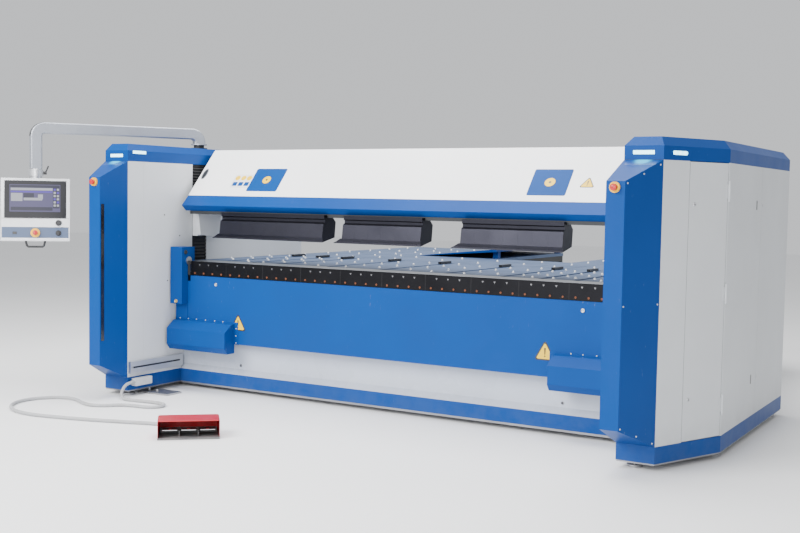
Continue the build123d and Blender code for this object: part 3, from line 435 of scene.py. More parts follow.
# Black screws hold the casing's inner sheets to the frame behind them.
inner_screws = [(430, 1490), (620, 1310), (470, 930), (620, 560)]
places = [spot(side * (inner - 0.2), y, z) for side in (-1, 1) for y, z in inner_screws]
ways = [(-side, 0, 0) for side in (-1, 1) for screw in inner_screws]
casing_screws = turned_pieces("casing_screws", places, ways, button_head)
finish_piece(casing_screws, black_screw, "machine")


# ---------------------------------------------------------------------------------------------
# Labels and plates: thin blank plates of sheet and foil, stuck or screwed to the machine. None
# of them carries any lettering.
# ---------------------------------------------------------------------------------------------
def rounded_outline(corners, radius, steps=5):
    """A flat outline with each corner an arc: the circle of that radius that touches both its sides."""
    corners = np.array(corners, float)
    ring = []
    for before, here, after in zip(np.roll(corners, 1, 0), corners, np.roll(corners, -1, 0)):
        a = (before - here) / np.linalg.norm(before - here)
        b = (after - here) / np.linalg.norm(after - here)
        half = np.arccos(np.clip(a @ b, -1, 1)) / 2
        reach = radius / np.tan(half)
        middle = here + (a + b) / np.linalg.norm(a + b) * radius / np.sin(half)
        start = np.arctan2(*(here + a * reach - middle)[::-1])
        end = np.arctan2(*(here + b * reach - middle)[::-1])
        sweep = (end - start + np.pi) % (2 * np.pi) - np.pi
        angle = start + sweep * np.linspace(0, 1, steps)
        ring.append(middle + radius * np.stack([np.cos(angle), np.sin(angle)], 1))
    return np.concatenate(ring)


def plate(name, middle, across, along, outline, thickness=0.8, edge=0.4):
    """A plate on a plane: the outline at its foot, again under its edge, and drawn in by the edge on top."""
    across = np.array(across, float) / np.linalg.norm(across)
    along = np.array(along, float) / np.linalg.norm(along)
    out = np.cross(across, along)
    outline = np.array(outline, float)
    centre = outline.mean(0)
    reach = np.linalg.norm(outline - centre, axis=1)[:, None]
    drawn = centre + (outline - centre) * (1 - edge / reach)
    rings = [(outline, -0.2), (outline, thickness - edge), (drawn, thickness)]
    points = [
        np.asarray(middle) + (flat[:, :1] * across + flat[:, 1:] * along + height * out) / 1000
        for flat, height in rings
    ]
    n = len(outline)
    faces = grid_faces(3, n)
    faces.append(list(range(n))[::-1])
    faces.append(list(range(2 * n, 3 * n)))
    return new_piece(name, np.concatenate(points), faces, smooth=False)


def rectangle(width, height, radius=3.0):
    """A rectangle about the origin, with round corners."""
    w, h = width / 2, height / 2
    return rounded_outline([(-w, -h), (w, -h), (w, h), (-w, h)], radius)


def triangle(size, radius):
    """An equal-sided triangle, point up, about its own middle: its height is the side times half root 3."""
    height = size * 0.866
    return rounded_outline([(-size / 2, -height / 3), (size / 2, -height / 3), (0, height * 2 / 3)], radius)


label_yellow = moulded("label_yellow", (0.80, 0.50, 0.0), 0.4, 900, 0.05)
label_black = moulded("label_black", (0.015, 0.015, 0.017), 0.38, 900, 0.2)
label_white = moulded("label_white", (0.72, 0.73, 0.75), 0.4, 900, 0.2)
label_blue = powder_coat("label_blue", (0.0, 0.050, 0.22), 0.88, 0.34, 0.0, 0.12)
# Black for seams and joints, and for the painted shade in the door gaps, the cheek gaps and the key slots.
seam_and_gap_shade_black = moulded("seam_and_gap_shade_black", (0.010, 0.010, 0.012), 0.6)


def warning_triangle(name, middle, across, along, size, body):
    """A yellow triangle in a black rim, and a plain black bar with a dot, as a general warning has."""
    out = np.cross(across, along) / np.linalg.norm(np.cross(across, along))
    middle = np.asarray(middle)
    rim = plate(name + "_rim", middle, across, along, triangle(size, size * 0.08), 0.7)
    inside = triangle(size * 0.80, size * 0.05)
    field = plate(name + "_field", middle + out * 0.0005, across, along, inside, 0.7)
    foot, head = size * 0.022, size * 0.04
    low_end, high_end = -size * 0.05, size * 0.24
    bar_outline = rounded_outline(
        [(-foot, low_end), (foot, low_end), (head, high_end), (-head, high_end)], size * 0.012
    )
    mark = plate(name + "_mark", middle + out * 0.001, across, along, bar_outline, 0.7, 0.2)
    angle = np.linspace(0, 2 * np.pi, 16, endpoint=False)
    dot_outline = size * np.stack([0.034 * np.cos(angle), 0.034 * np.sin(angle) - 0.115], 1)
    dot = plate(name + "_dot", middle + out * 0.001, across, along, dot_outline, 0.7, 0.2)
    for piece, material, slot in (
        (rim, label_black, "black_plastic"), (field, label_yellow, "yellow_plastic"),
        (mark, label_black, "black_plastic"), (dot, label_black, "black_plastic"),
    ):
        finish_piece(piece, material, body)


# ---------------------------------------------------------------------------------------------
# Caps, status lights and light guards. The blue caps hold a strip lens in front and on each side,
# lit pale cyan, and throw some of that light on the nose under them.
# ---------------------------------------------------------------------------------------------
lamp = Finish("status_lens")
lamp_rows = lamp.number("ShaderNodeTexWave", {"bands_direction": "X"}, Vector=lamp.place, Scale=18.0)
lamp.set(Base_Color=(0.55, 0.93, 0.98), Roughness=0.2, Emission_Strength=3.5)
lamp.set(Emission_Color=lamp.mix(lamp_rows, (0.25, 0.85, 1.0), (0.6, 0.97, 1.0)))
dress(lamp.material, "status_lenses")
dress(moulded("curtain_glass", (0.010, 0.010, 0.013), 0.18, 300, 0.6), "light_curtains")
dress(worked_steel("scanner_shell", (0.62, 0.63, 0.65), (1, 24, 24), 0.4), "scanner_boxes")

for side, name in ((-1, "left"), (1, "right")):
    slit = plate(
        f"{name}_scanner_slit", spot(side * (inner - 28.4), 321, 238), (0, -side, 0), (0, 0, 1),
        rectangle(560, 14, 5), 0.6,
    )
    finish_piece(slit, label_black, "machine")
    strip = plate(
        f"{name}_cap_seam", spot(side * (inner + 125), -0.2, cap_bottom), (1, 0, 0), (0, 0, 1),
        rectangle(246, 3, 1), 0.5, 0.2,
    )
    finish_piece(strip, seam_and_gap_shade_black, "machine")
    slant_way = np.array([side * slant, 1, 0]) / np.hypot(1, slant)
    across = slant_way * side
    outer_lens = plate(
        f"{name}_outer_lens", spot(side * (inner + nose_width + slant * 140), 140, 1973), across, (0, 0, 1),
        rectangle(136, 24, 10), 1.2,
    )
    finish_piece(outer_lens, lamp.material, "machine")

# The front lens shines down on the nose's sloping top: the light fades out from under its middle.
nose_way = np.array([0, -nose_reach, nose_top - cap_bottom]) / np.hypot(nose_reach, cap_bottom - nose_top)
nose_out = np.array([0, nose_way[2], -nose_way[1]])
for side, name in ((-1, "left"), (1, "right")):
    under_lens = spot(side * (inner + 124), 0, cap_bottom) + nose_way * 0.045 + nose_out * 0.0002
    glow = Finish(f"{name}_glow")
    brightest = tuple(under_lens - nose_way * 0.03)
    away = glow.node("ShaderNodeVectorMath", {"operation": "DISTANCE"}, glow.place, brightest).outputs[1]
    smooth = {"interpolation_type": "SMOOTHERSTEP"}
    fade = glow.number("ShaderNodeMapRange", smooth, away, 0.015, 0.085, 1.0, 0.0)
    glow.set(Base_Color=blue_colour, Roughness=glow.noise(5, 3.0) * 0.12 + 0.3, Emission_Strength=1.6)
    glow.set(Emission_Color=glow.mix(fade ** 1.6, (0.0, 0.0, 0.0), (0.05, 0.75, 0.95)))
    pool = plate(f"{name}_light_pool", under_lens, (1, 0, 0), -nose_way, rectangle(200, 88, 20), 0.3, 0.1)
    finish_piece(pool, glow.material, "machine")

# A thin black strip in the gap along both upright edges of each door is painted shade: it stands for the dark
# hollow of the casing behind the gap.
door_bottom, door_front, door_depth, door_gaps = 158, 229, 356, 14
along_start = door_front * np.hypot(1, slant)
door_width = door_depth * np.hypot(1, slant) - door_gaps
for side, name in ((-1, "left"), (1, "right")):
    face = np.array([side * slope[0], slope[1], 0])
    run = np.array([side * slant, 1, 0]) / np.hypot(1, slant)
    for edge, along in (("front", along_start - 2), ("rear", along_start + door_width + 2)):
        middle = spot(side * (inner + nose_width), 0, (door_bottom + cap_bottom) / 2)
        foot = middle + run * along / 1000 - face * 0.0024
        strip = rectangle(3.4, 1755, 1)
        door_gap_shade = plate(f"{name}_gasket_{edge}", foot, run * side, (0, 0, 1), strip, 0.8, 0.2)
        finish_piece(door_gap_shade, seam_and_gap_shade_black, "machine")

# Door locks have a black plate for the key slot, painted shade for the dark inside the slot; the side panels
# have a sunk pull and a quarter-turn lock each.
door_lock = [(11, -0.3), (11, 1.2), (9.5, 2.2), (6, 2.2), (5.6, 0.9), (0.5, 0.9)]
side_lock = [(10, -0.3), (10, 1.4), (8.5, 2.4), (5, 2.4), (4.6, 1), (0.5, 1)]
wall = inner + column_width
for side, name, body in ((-1, "left", "door_left"), (1, "right", "door_right")):
    face = np.array([side * slope[0], slope[1], 0])
    face_across = np.cross((0, 0, 1), face)
    for z in (426, 1658):
        lock = spot(side * (inner + nose_width + slant * 275), 275, z) + face * 0.0038
        ring = turned_pieces(f"{name}_lock_{z}", [lock], face, door_lock, 28)
        finish_piece(ring, screw_steel, body)
        # Painted shade: a small black plate stands for the dark inside the key slot.
        key_slot_shade_middle = lock + face * 0.0012
        key = plate(f"{name}_key_{z}", key_slot_shade_middle, face_across, (0, 0, 1), rectangle(2.4, 9, 1), 0.9, 0.2)
        finish_piece(key, seam_and_gap_shade_black, body)
        pull_middle = spot(side * wall, 1357, z)
        pull = plate(f"{name}_pull_{z}", pull_middle, (0, side, 0), (0, 0, 1), rectangle(26, 66, 6), 0.7, 0.3)
        finish_piece(pull, label_black, "machine")
        turn_place = spot(side * wall, 1526, z)
        turn_lock = turned_pieces(f"{name}_side_lock_{z}", [turn_place], (side, 0, 0), side_lock, 24)
        finish_piece(turn_lock, screw_steel, "machine")

# ---------------------------------------------------------------------------------------------
# Emergency stops: a yellow collar with a moulded step, and a red mushroom head with its grip.
# ---------------------------------------------------------------------------------------------
stop_yellow = moulded("stop_yellow", (0.80, 0.42, 0.0), 0.38, 500, 0.05)
stop_red = moulded("stop_red", (0.42, 0.003, 0.006), 0.30, 500, 0.1)
dress(stop_yellow, "stop_collars", "panel_stop_collar")
dress(stop_red, "left_stop_button", "right_stop_button", "panel_stop_button")
head_reach = 20
head_profile = [(19.6, -1.0), (20.6, 4.0), (20.6, 9.0), (18.5, 15.0), (12.0, 18.4), (4.0, 19.2), (0.5, 19.3)]
for side, name, body in ((-1, "left_stop", "left_stop"), (1, "right_stop", "right_stop")):
    head_place = spot(side * (inner + 57), -nose_reach - head_reach, 1753)
    crown = turned_pieces(f"{name}_crown", [head_place], (0, -1, 0), head_profile, 40)
    finish_piece(crown, stop_red, body)

# ---------------------------------------------------------------------------------------------
# Skirt and lower tool between the columns. The lower tool is ground steel in eight lengths.
# ---------------------------------------------------------------------------------------------
dress(powder_coat("skirt_grey", (0.46, 0.50, 0.58), 0.92, 0.22), "skirt_panel")
dress(worked_steel("lower_tool_steel", (0.42, 0.43, 0.46)), "lower_tool")
dress(worked_steel("foot_steel", (0.40, 0.40, 0.41), (1, 1, 1), 0.4), "levelling_feet")

# ---------------------------------------------------------------------------------------------
# Bending beam: a blue welded box on two cheeks, faced with a black bar in ten lengths. Each length
# is drawn up by a row of screws that have gone rusty, and set by a row of small notches.
# ---------------------------------------------------------------------------------------------
bar_black = worked_steel("bar_black", (0.010, 0.010, 0.012), (1, 20, 20), 0.44, 0.5)
dress(machine_blue, "bending_beam")
dress(bar_black, "bending_bar")
rust = Finish("rusty_screw")
rust_patch = rust.noise(420, 5.0, None, 0.7)
rust.set(Base_Color=rust.mix(rust_patch, (0.08, 0.022, 0.010), (0.26, 0.085, 0.030)))
rust.set(Roughness=rust_patch * 0.3 + 0.5, Metallic=0.35)
rust.bump(rust_patch, 0.0006, 0.8)
bar_front = 560
beam_face = 559.8
bar_lengths, bar_length, bar_start = 10, 381, -1905
cap_head = [(8.0, -0.5), (8.0, 3.2), (7.2, 4.2), (4.6, 4.2), (4.3, 1.6), (0.5, 1.4)]
screw_x = np.arange(-1860, 1861, 95.4)
places = np.array([spot(x, bar_front - 0.2, 1001) for x in screw_x])
bar_screws = turned_pieces("bar_screws", places, (0, -1, 0), cap_head, 12)
finish_piece(bar_screws, rust.material, "folding_assembly")
notch = [(-9, 0), (9, 0), (0, -15)][::-1]
dull_steel = worked_steel("dull_steel", (0.20, 0.20, 0.21), (1, 1, 1), 0.4)
for k in range(bar_lengths):
    left = bar_start + bar_length * k
    joint_middle = spot(left, bar_front + 0.1, 1040)
    joint = plate(f"bar_joint_{k}", joint_middle, (1, 0, 0), (0, 0, 1), rectangle(1.6, 116, 0.5), 0.4, 0.1)
    finish_piece(joint, seam_and_gap_shade_black, "folding_assembly")
    for shift in (95, 190, 286):
        vee = plate(
            f"bar_vee_{k}_{shift}", spot(left + shift, bar_front, 1078), (1, 0, 0), (0, 0, 1),
            rounded_outline(notch, 1.2), 0.5, 0.2,
        )
        finish_piece(vee, dull_steel, "folding_assembly")
for side, x in (("left", -1392), ("right", 1356)):
    place = spot(x, beam_face, 592)
    warning_triangle(f"beam_{side}_warning", place, (1, 0, 0), (0, 0, 1), 168, "folding_assembly")
boss = [(15, -0.5), (15, 4), (13.5, 6), (9, 6.4), (8.5, 3.0), (0.5, 2.6)]
finish_piece(
    turned_pieces("beam_bosses", [spot(s * 1631, beam_face, 914) for s in (-1, 1)], (0, -1, 0), boss, 24),
    screw_steel, "folding_assembly",
)
brass = worked_steel("cheek_brass", (0.60, 0.42, 0.16), (1, 1, 1), 0.3)
pin = [(17, -0.5), (17, 3), (15, 5), (10, 5), (9, 2.5), (0.5, 2.2)]
finish_piece(
    turned_pieces("cheek_pins", [spot(s * 2011, 490.8, 758) for s in (-1, 1)], (0, -1, 0), pin, 28),
    brass, "folding_assembly",
)

socket_bolt = [(19, -0.5), (19, 4), (17.5, 6.5), (9.5, 6.5), (9, 2.0), (0.5, 1.8)]
places = [spot(s * 1945.8, 535, 1176) for s in (-1, 1)]
cheek_bolts = turned_pieces("cheek_bolts", places, [(1, 0, 0), (-1, 0, 0)], socket_bolt, 28)
finish_piece(cheek_bolts, black_screw, "folding_assembly")
# Painted shadow: a flat black plate at each end of the bar stands for the shadow line in the gap between the
# bar's end and the cheek.
for side, name in ((-1, "left"), (1, "right")):
    gap_shade_middle = spot(side * 1928, 559.7, 1040)
    gap = plate(f"{name}_cheek_gap_shade", gap_shade_middle, (1, 0, 0), (0, 0, 1), rectangle(30, 118, 3), 0.5, 0.2)
    finish_piece(gap, seam_and_gap_shade_black, "folding_assembly")

# ---------------------------------------------------------------------------------------------
# Drive-link covers: folded blue sheets over the links at both ends of the bending beam, each
# held by button-head screws along its top and end.
# ---------------------------------------------------------------------------------------------
dress(machine_blue, "link_covers")
flange_front = 556.8
top_row = [(x, 608) for x in (2020, 1930, 1840, 1741, 1640, 1552)]
end_row = [(1412, z) for z in (560, 500, 440)]
places = [spot(side * x, flange_front, z) for side in (-1, 1) for x, z in top_row + end_row]
cover_screws = turned_pieces("cover_screws", places, (0, -1, 0), button_head)
finish_piece(cover_screws, screw_steel, "folding_assembly")

# ---------------------------------------------------------------------------------------------
# Upper beam: a long white cover that leans back, over a blue nose. Blank blue plates, a round
# yellow sign and small labels are fixed to the slope.
# ---------------------------------------------------------------------------------------------
beam_white = powder_coat("beam_white", (0.88, 0.885, 0.89), 0.97, 0.24)
dress(beam_white, "upper_cover")
dress(machine_blue, "upper_nose")
edge_y, edge_z, ridge_y, ridge_z = 679, 1659, 1029, 2059
up_slope = np.array([0, ridge_y - edge_y, ridge_z - edge_z], float)
up_slope /= np.linalg.norm(up_slope)


def on_slope(x, y):
    """A place 0.1 mm out of the white cover: z rises with y in the ratio of ridge to edge."""
    z = edge_z + (y - edge_y) * (ridge_z - edge_z) / (ridge_y - edge_y)
    return spot(x, y, z) - np.array([0, up_slope[2], -up_slope[1]]) * 0.0001


for name, x0, x1, y0, y1, material, slot in (
    ("cover_plate_left", -1451, -1135, 716, 884, label_blue, "blue_paint"),
    ("cover_plate_right", 1110, 1410, 716, 884, label_blue, "blue_paint"),
    ("cover_label_left", -1646, -1446, 742, 838, label_white, "white_plastic"),
):
    height = (y1 - y0) / up_slope[1]
    sheet_plate = plate(
        name, on_slope((x0 + x1) / 2, (y0 + y1) / 2), (1, 0, 0), up_slope, rectangle(x1 - x0, height, 14), 1.2
    )
    finish_piece(sheet_plate, material, "upper_assembly")
circle = np.linspace(0, 2 * np.pi, 48, endpoint=False)
round_outline = np.stack([np.cos(circle), np.sin(circle)], 1)
slope_out = np.array([0, -up_slope[2], up_slope[1]])
pull_grey = moulded("pull_grey", (0.16, 0.17, 0.18), 0.4)
for side, x in (("left", -1293), ("right", 1260)):
    for name, radius, material, slot, lift in (
        ("rim", 44, label_black, "black_plastic", 0.0008),
        ("disc", 40, label_yellow, "yellow_plastic", 0.0013),
        ("dot", 10, label_black, "black_plastic", 0.0018),
    ):
        sign_middle = on_slope(x, 800) + slope_out * lift
        sign = plate(f"{side}_sign_{name}", sign_middle, (1, 0, 0), up_slope, round_outline * radius, 0.8)
        finish_piece(sign, material, "upper_assembly")
pull_middle = on_slope(-2000, 842)
pull_rim, pull_well = np.array([27, 62]) * round_outline, np.array([19, 52]) * round_outline
oval = plate("cover_pull", pull_middle, (1, 0, 0), up_slope, pull_rim, 1.0)
finish_piece(oval, pull_grey, "upper_assembly")
well = plate("cover_pull_well", pull_middle + slope_out * 0.0006, (1, 0, 0), up_slope, pull_well, 0.6)
finish_piece(well, dark_coat, "upper_assembly")
warning_triangle("cover_warning", on_slope(1549, 792), (1, 0, 0), up_slope, 118, "upper_assembly")
on_label = slope_out * 0.0008
for k in range(3):
    label_x = -1608 + 62 * k
    high, low = on_slope(label_x, 812) + on_label, on_slope(label_x, 768) + on_label
    disc = plate(f"label_disc_{k}", high, (1, 0, 0), up_slope, round_outline * 26, 0.5, 0.2)
    finish_piece(disc, label_yellow, "upper_assembly")
    bar = plate(f"label_bar_{k}", low, (1, 0, 0), up_slope, rectangle(48, 44, 4), 0.5, 0.2)
    finish_piece(bar, label_blue, "upper_assembly")

# ---------------------------------------------------------------------------------------------
# Upper clamping tools: blackened and ground steel segments, each with a clamping screw and a
# small pull pin near its top.
# ---------------------------------------------------------------------------------------------
tool_dark = worked_steel("tool_dark", (0.022, 0.022, 0.030), (1.0, 30.0, 6.0), 0.38, 0.5)
dress(tool_dark, "left_tools", "middle_tools", "right_tools")
knob = [(7, -0.5), (7, 5), (6, 7), (3, 7.5), (0.5, 7.5)]
tool_groups = (("left", -1610, -566, 9), ("middle", -381, 324, 6), ("right", 659, 1461, 7))
for group, first, last, count in tool_groups:
    body = f"{group}_tool_group"
    steps = (np.arange(count) + 0.5) * (last - first) / count + first
    places = [spot(x, 599, 1400) for x in steps]
    screws = turned_pieces(f"{group}_tools_screws", places, (0, -1, 0), knob, 14)
    finish_piece(screws, screw_steel, body)
    edges = np.arange(1, count) * (last - first) / count + first
    for k, x in enumerate(edges):
        seam_middle = spot(x, 585.6, 1395)
        seam = plate(
            f"{group}_tools_seam_{k}", seam_middle, (1, 0, 0), (0, 0, 1), rectangle(1.4, 96, 0.5), 0.4, 0.1
        )
        finish_piece(seam, seam_and_gap_shade_black, body)

# ---------------------------------------------------------------------------------------------
# Table: folded slats of brushed steel with ball transfers in pressed cups, on a dark tube frame,
# and the black fingers of the back gauge in the slots.
# ---------------------------------------------------------------------------------------------
slat = worked_steel("slat_steel", (0.075, 0.115, 0.205), (30.0, 1.0, 30.0), 0.42, 0.45, 0.0, 0.12)
dress(slat, "table_slats")
dress(dark_coat, "table_frame")
dress(machine_blue, "lift_flap")
dress(moulded("ball_nylon", (0.80, 0.81, 0.82), 0.25, 900, 0.4), "transfer_balls")
dress(moulded("gauge_black", (0.018, 0.018, 0.021), 0.34), "back_gauge")
# Pressed cups stand round the balls. The balls' highest points are gathered in squares of 20 mm, so a
# ball that lies across two squares has a cup for each.
ball_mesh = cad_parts["transfer_balls"].data
ball_points = np.empty(len(ball_mesh.vertices) * 3)
ball_mesh.vertices.foreach_get("co", ball_points)
ball_points = ball_points.reshape(-1, 3)
tops = ball_points[ball_points[:, 2] > ball_points[:, 2].max() - 0.0004]
keys = np.round(tops[:, :2] / 0.02).astype(int)
where = np.unique(keys, axis=0, return_inverse=True)[1].ravel()
centres = np.stack([np.bincount(where, tops[:, k]) / np.bincount(where) for k in (0, 1)], 1)
cups = np.c_[centres, np.full(len(centres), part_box("table_slats")[1][2] - 0.0002)]
cup_profile = [(15.5, 0.0), (15.0, 0.9), (12.5, 1.6), (10.4, 1.2), (9.6, 0.4), (9.3, -0.1)]
ball_cups = turned_pieces("ball_cups", cups, (0, 0, 1), cup_profile, 16)
finish_piece(ball_cups, screw_steel, "machine")

# ---------------------------------------------------------------------------------------------
# Control arm and panel: an aluminium tube, and a cast case with a black glass screen over a
# blue-grey strip that holds a dial, an emergency stop, a key switch and a socket.
# ---------------------------------------------------------------------------------------------
arm_silver = worked_steel("arm_silver", (0.36, 0.38, 0.42), (6.0, 6.0, 6.0), 0.42, 0.2, 0.7)
case_silver = worked_steel("case_silver", (0.58, 0.59, 0.61), (6.0, 6.0, 1.0), 0.34, 0.25, 0.8)
dress(arm_silver, "swivel_arm")
dress(case_silver, "panel_case")
panel_black = moulded("panel_black", (0.018, 0.018, 0.02), 0.4)
dress(panel_black, "panel_handle", "clamp_lever", "panel_dial", "mode_switch")

# The elbow over the panel opens along its outside, under a ribbed black cover: ridges run across an arc.
drop_x, drop_y, arm_height = -3075, -80, 2208
across_reach, forward_reach = 780, 1180
bend_radius, tube_half = 72, 47.5
level_way = np.array([-across_reach, -forward_reach, 0]) / np.hypot(across_reach, forward_reach)
side_way = np.array([-level_way[1], level_way[0], 0])
elbow = spot(drop_x, drop_y, arm_height) - (level_way * bend_radius + np.array([0, 0, bend_radius])) / 1000
angle = np.linspace(0.02, np.pi / 2 - 0.02, 97)
rib_radius = (tube_half + bend_radius + 1.6 + np.cos(angle * 64)) / 1000
ray = np.cos(angle)[:, None] * level_way + np.sin(angle)[:, None] * np.array([0, 0, 1.0])
edges = [(0.1185, 0.036), (0.1185, -0.036), (None, -0.034), (None, 0.034)]
strip = np.stack([
    elbow + ray * (rib_radius[:, None] if reach is None else reach) + side_way * shift
    for reach, shift in edges
], 1)
cover_faces = grid_faces(len(angle), 4)
cover_faces += [[3, 2, 1, 0], [4 * len(angle) - 4 + k for k in range(4)]]
elbow_cover = new_piece("elbow_cover", strip.reshape(-1, 3), cover_faces, smooth=False)
finish_piece(elbow_cover, black_screw, "arm")

# The panel turns towards the operator and leans back, below the arm's drop.
turn, lean = np.radians([46, 8])
panel_reach = 98
panel_right = np.array([np.cos(turn), np.sin(turn), 0])
panel_out = np.array([np.sin(turn) * np.cos(lean), -np.cos(turn) * np.cos(lean), np.sin(lean)])
panel_up = np.cross(panel_out, panel_right)
panel_middle = spot(drop_x + panel_reach * np.sin(turn), drop_y - panel_reach * np.cos(turn), 1517)


def on_panel(across, above, out=0.0):
    """A place on the panel's front, in millimetres to its right, above its middle, and out of it."""
    return panel_middle + (across * panel_right + above * panel_up + out * panel_out) / 1000


glass = Finish("screen_glass")
glass_smear = glass.noise(11, 5.0, None, 0.65)
glass.set(Base_Color=glass.mix(glass_smear * 0.5, (0.008, 0.008, 0.010), (0.020, 0.021, 0.026)))
glass.set(Roughness=glass_smear * 0.10 + 0.05, Specular_IOR_Level=0.15)
dress(glass.material, "panel_screen")


def lit(name, colour, strength):
    """A part of the picture on the screen, which gives light."""
    finish = Finish(name)
    rows = finish.noise(900, 1.0)
    finish.set(Base_Color=(0.01, 0.01, 0.01), Roughness=0.15, Specular_IOR_Level=0.15)
    finish.set(Emission_Strength=strength)
    finish.set(Emission_Color=finish.mix(rows * 0.15, colour, tuple(0.8 * c for c in colour)))
    return finish.material


screen_white = lit("screen_white", (0.72, 0.75, 0.84), 0.9)
screen_violet = lit("screen_violet", (0.20, 0.18, 0.42), 0.7)
screen_bright = lit("screen_bright", (0.18, 0.10, 0.85), 0.9)
screen_dark = lit("screen_dark", (0.05, 0.05, 0.10), 0.9)
picture = [
    ("backdrop", -4, 96, 408, 232, screen_violet, 0.7), ("top_bar", -4, 196, 400, 22, screen_dark, 0.9),
    ("title", -30, 172, 336, 20, screen_white, 0.9), ("accent", -30, 150, 336, 12, screen_bright, 0.9),
    ("table_left", -150, 104, 92, 68, screen_white, 0.9), ("table_mid", -54, 118, 84, 40, screen_dark, 0.9),
    ("sheet_view", -20, 88, 150, 22, screen_white, 1.1), ("sheet_edge", 40, 108, 40, 40, screen_white, 1.1),
    ("foot_bar", -30, 6, 336, 30, screen_dark, 0.9), ("side_panel", 168, 100, 54, 178, screen_dark, 0.9),
]
for k in range(12):
    key_finish = screen_white if k % 3 else screen_bright
    picture.append((f"key_{k}", 155 + 26 * (k % 2), 170 - 27 * (k // 2), 18, 18, key_finish, 1.1))
for name, x, y, width, height, material, out in picture:
    shape = rectangle(width, height, 3)
    tile = plate(f"screen_{name}", on_panel(x, y, out), panel_right, panel_up, shape, 0.3, 0.1)
    finish_piece(tile, material, "panel")
strip_blue = powder_coat("strip_blue", (0.085, 0.12, 0.20), 0.92, 0.34, 0.0)
strip_shape = rectangle(538, 92, 3)
control_strip = plate("control_strip", on_panel(0, -195, 0), panel_right, panel_up, strip_shape, 0.25, 0.1)
finish_piece(control_strip, strip_blue, "panel")
edge_trim = plate("screen_trim", on_panel(0, -76, 0), panel_right, panel_up, rectangle(540, 3, 1), 0.6, 0.2)
finish_piece(edge_trim, label_black, "panel")
bezel = [(29, -0.4), (29, 1.6), (27.5, 2.4), (24.0, 2.4), (23.6, 0.3), (0.5, 0.25)]
dial_bezel = turned_pieces("panel_bezels", [on_panel(186, -113)], panel_out, bezel, 40)
finish_piece(dial_bezel, case_silver, "panel")
ring_profile = [(24, -0.4), (24, 2.0), (22.6, 3.0), (20.0, 3.0), (19.4, 0.35), (0.5, 0.3)]
key_ring = turned_pieces("key_ring", [on_panel(186, -199, 0.2)], panel_out, ring_profile, 40)
finish_piece(key_ring, label_black, "panel")
service_shape = rectangle(34, 22, 4)
service = plate("panel_socket", on_panel(-165, -199, 0.2), panel_right, panel_up, service_shape, 3.0, 0.8)
finish_piece(service, label_black, "panel")
ribs = np.linspace(0, 2 * np.pi, 96, endpoint=False)
grip_outline = (22.6 + 0.7 * np.cos(24 * ribs))[:, None] * np.stack([np.cos(ribs), np.sin(ribs)], 1)
dial_grip = plate("dial_grip", on_panel(186, -113, 3.2), panel_right, panel_up, grip_outline, 15.5, 1.5)
finish_piece(dial_grip, label_black, "dial")
stop_head = turned_pieces("panel_stop_crown", [on_panel(0, -199, head_reach)], panel_out, head_profile, 40)
finish_piece(stop_head, stop_red, "panel_stop")

# ---------------------------------------------------------------------------------------------
# Foot switch: three rubber treads with red stripes and bright edges under a red steel hood.
# ---------------------------------------------------------------------------------------------
guard_red = powder_coat("guard_red", (0.42, 0.004, 0.012), 0.88, 0.26, 0.03, 0.2)
dress(guard_red, "pedal_guard")
dress(powder_coat("pedal_base_grey", (0.10, 0.105, 0.115), 0.85, 0.4), "pedal_base")
dress(moulded("tread_rubber", (0.016, 0.016, 0.018), 0.55, 380), "left_pedal", "middle_pedal", "right_pedal")
foot_turn = np.radians(41.6)
foot_right = np.array([np.cos(foot_turn), np.sin(foot_turn), 0])
foot_back = np.array([-np.sin(foot_turn), np.cos(foot_turn), 0])
tread_way = foot_back * 132 + np.array([0, 0, -18])
tread_way /= np.linalg.norm(tread_way)
stripe_red = moulded("stripe_red", (0.60, 0.02, 0.03), 0.4, 600)


def on_foot(across, back, height):
    """A place on the foot switch, in millimetres to its right, to its back, and above the floor."""
    return spot(-680, -849, height) + (across * foot_right + back * foot_back) / 1000


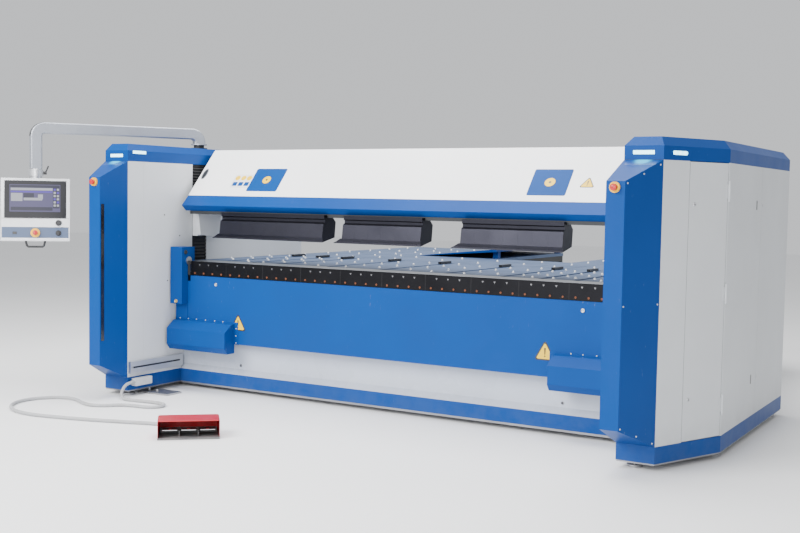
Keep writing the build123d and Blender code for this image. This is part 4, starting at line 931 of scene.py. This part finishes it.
stripe_shape, rib_shape, lip_shape = rectangle(22, 120, 4), rectangle(3.2, 118, 1.2), rectangle(100, 5, 1.5)
for name, x in (("left", -128), ("middle", 0), ("right", 128)):
    body = f"pedal_{name}"
    stripe = plate(f"{name}_stripe", on_foot(x, -4, 55.0), foot_right, tread_way, stripe_shape, 0.9, 0.3)
    finish_piece(stripe, stripe_red, body)
    for k in (-4, -3, -2, -1, 1, 2, 3, 4):
        rib_middle = on_foot(x + 9.5 * k + 4 * np.sign(k), -4, 55.0)
        rib = plate(f"{name}_rib_{k + 4}", rib_middle, foot_right, tread_way, rib_shape, 1.3, 0.5)
        finish_piece(rib, label_black, body)
    lip = plate(f"{name}_lip", on_foot(x, -76.4, 59.5), foot_right, (0, 0, 1), lip_shape, 1.0, 0.4)
    finish_piece(lip, screw_steel, body)
for k, side in enumerate((-1, 1)):
    side_middle = on_foot(side * 209.6, 4, 44)
    side_plate = plate(
        f"guard_plate_{k}", side_middle, foot_back * -side, (0, 0, 1), rectangle(180, 52, 6), 1.0, 0.5
    )
    finish_piece(side_plate, screw_steel, "machine")

# ---------------------------------------------------------------------------------------------
# The studio: a plain pale floor and soft light from large panels. Not part of the machine.
# ---------------------------------------------------------------------------------------------
reach, floor_z = 30, -0.0005
floor_corners = np.array([(-reach, -reach), (reach, -reach), (reach, reach), (-reach, reach)], float)
floor = new_piece("studio_floor", np.c_[floor_corners, np.full(4, floor_z)], [[0, 1, 2, 3]], smooth=False)
floor_finish = Finish("studio_floor")
floor_tone = floor_finish.noise(0.6, 3.0)
floor_finish.set(Base_Color=floor_finish.mix(floor_tone, (0.86, 0.86, 0.86), (0.90, 0.90, 0.90)))
floor_finish.set(Roughness=floor_tone * 0.1 + 0.5)
floor.data.materials.append(floor_finish.material)
floor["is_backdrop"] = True
world = bpy.data.worlds.new("studio")
bpy.context.scene.world = world
world.use_nodes = True
world.node_tree.nodes["Background"].inputs[0].default_value = (0.95, 0.97, 1.0, 1)
world.node_tree.nodes["Background"].inputs[1].default_value = 0.80
for name, place, target, size, power in (
    ("key_panel", (-2.5, -8.0, 5.5), (0, -1.2, 1.0), 4.0, 1050),
    ("fill_panel", (2.5, -9.5, 3.0), (1, -1.2, 1.0), 4.0, 420),
    ("top_panel", (0.0, -0.5, 7.0), (0, -0.5, 1.0), 6.0, 900),
):
    light = bpy.data.lights.new(name, "AREA")
    light.size = size
    light.energy = power
    panel = bpy.data.objects.new(name, light)
    panel.location = place
    panel.rotation_euler = (Vector(target) - Vector(place)).to_track_quat("-Z", "Y").to_euler()
    bpy.context.collection.objects.link(panel)

size = {"cad": [list(map(float, c)) for c in cad_box], "visual": [list(map(float, c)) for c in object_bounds()]}
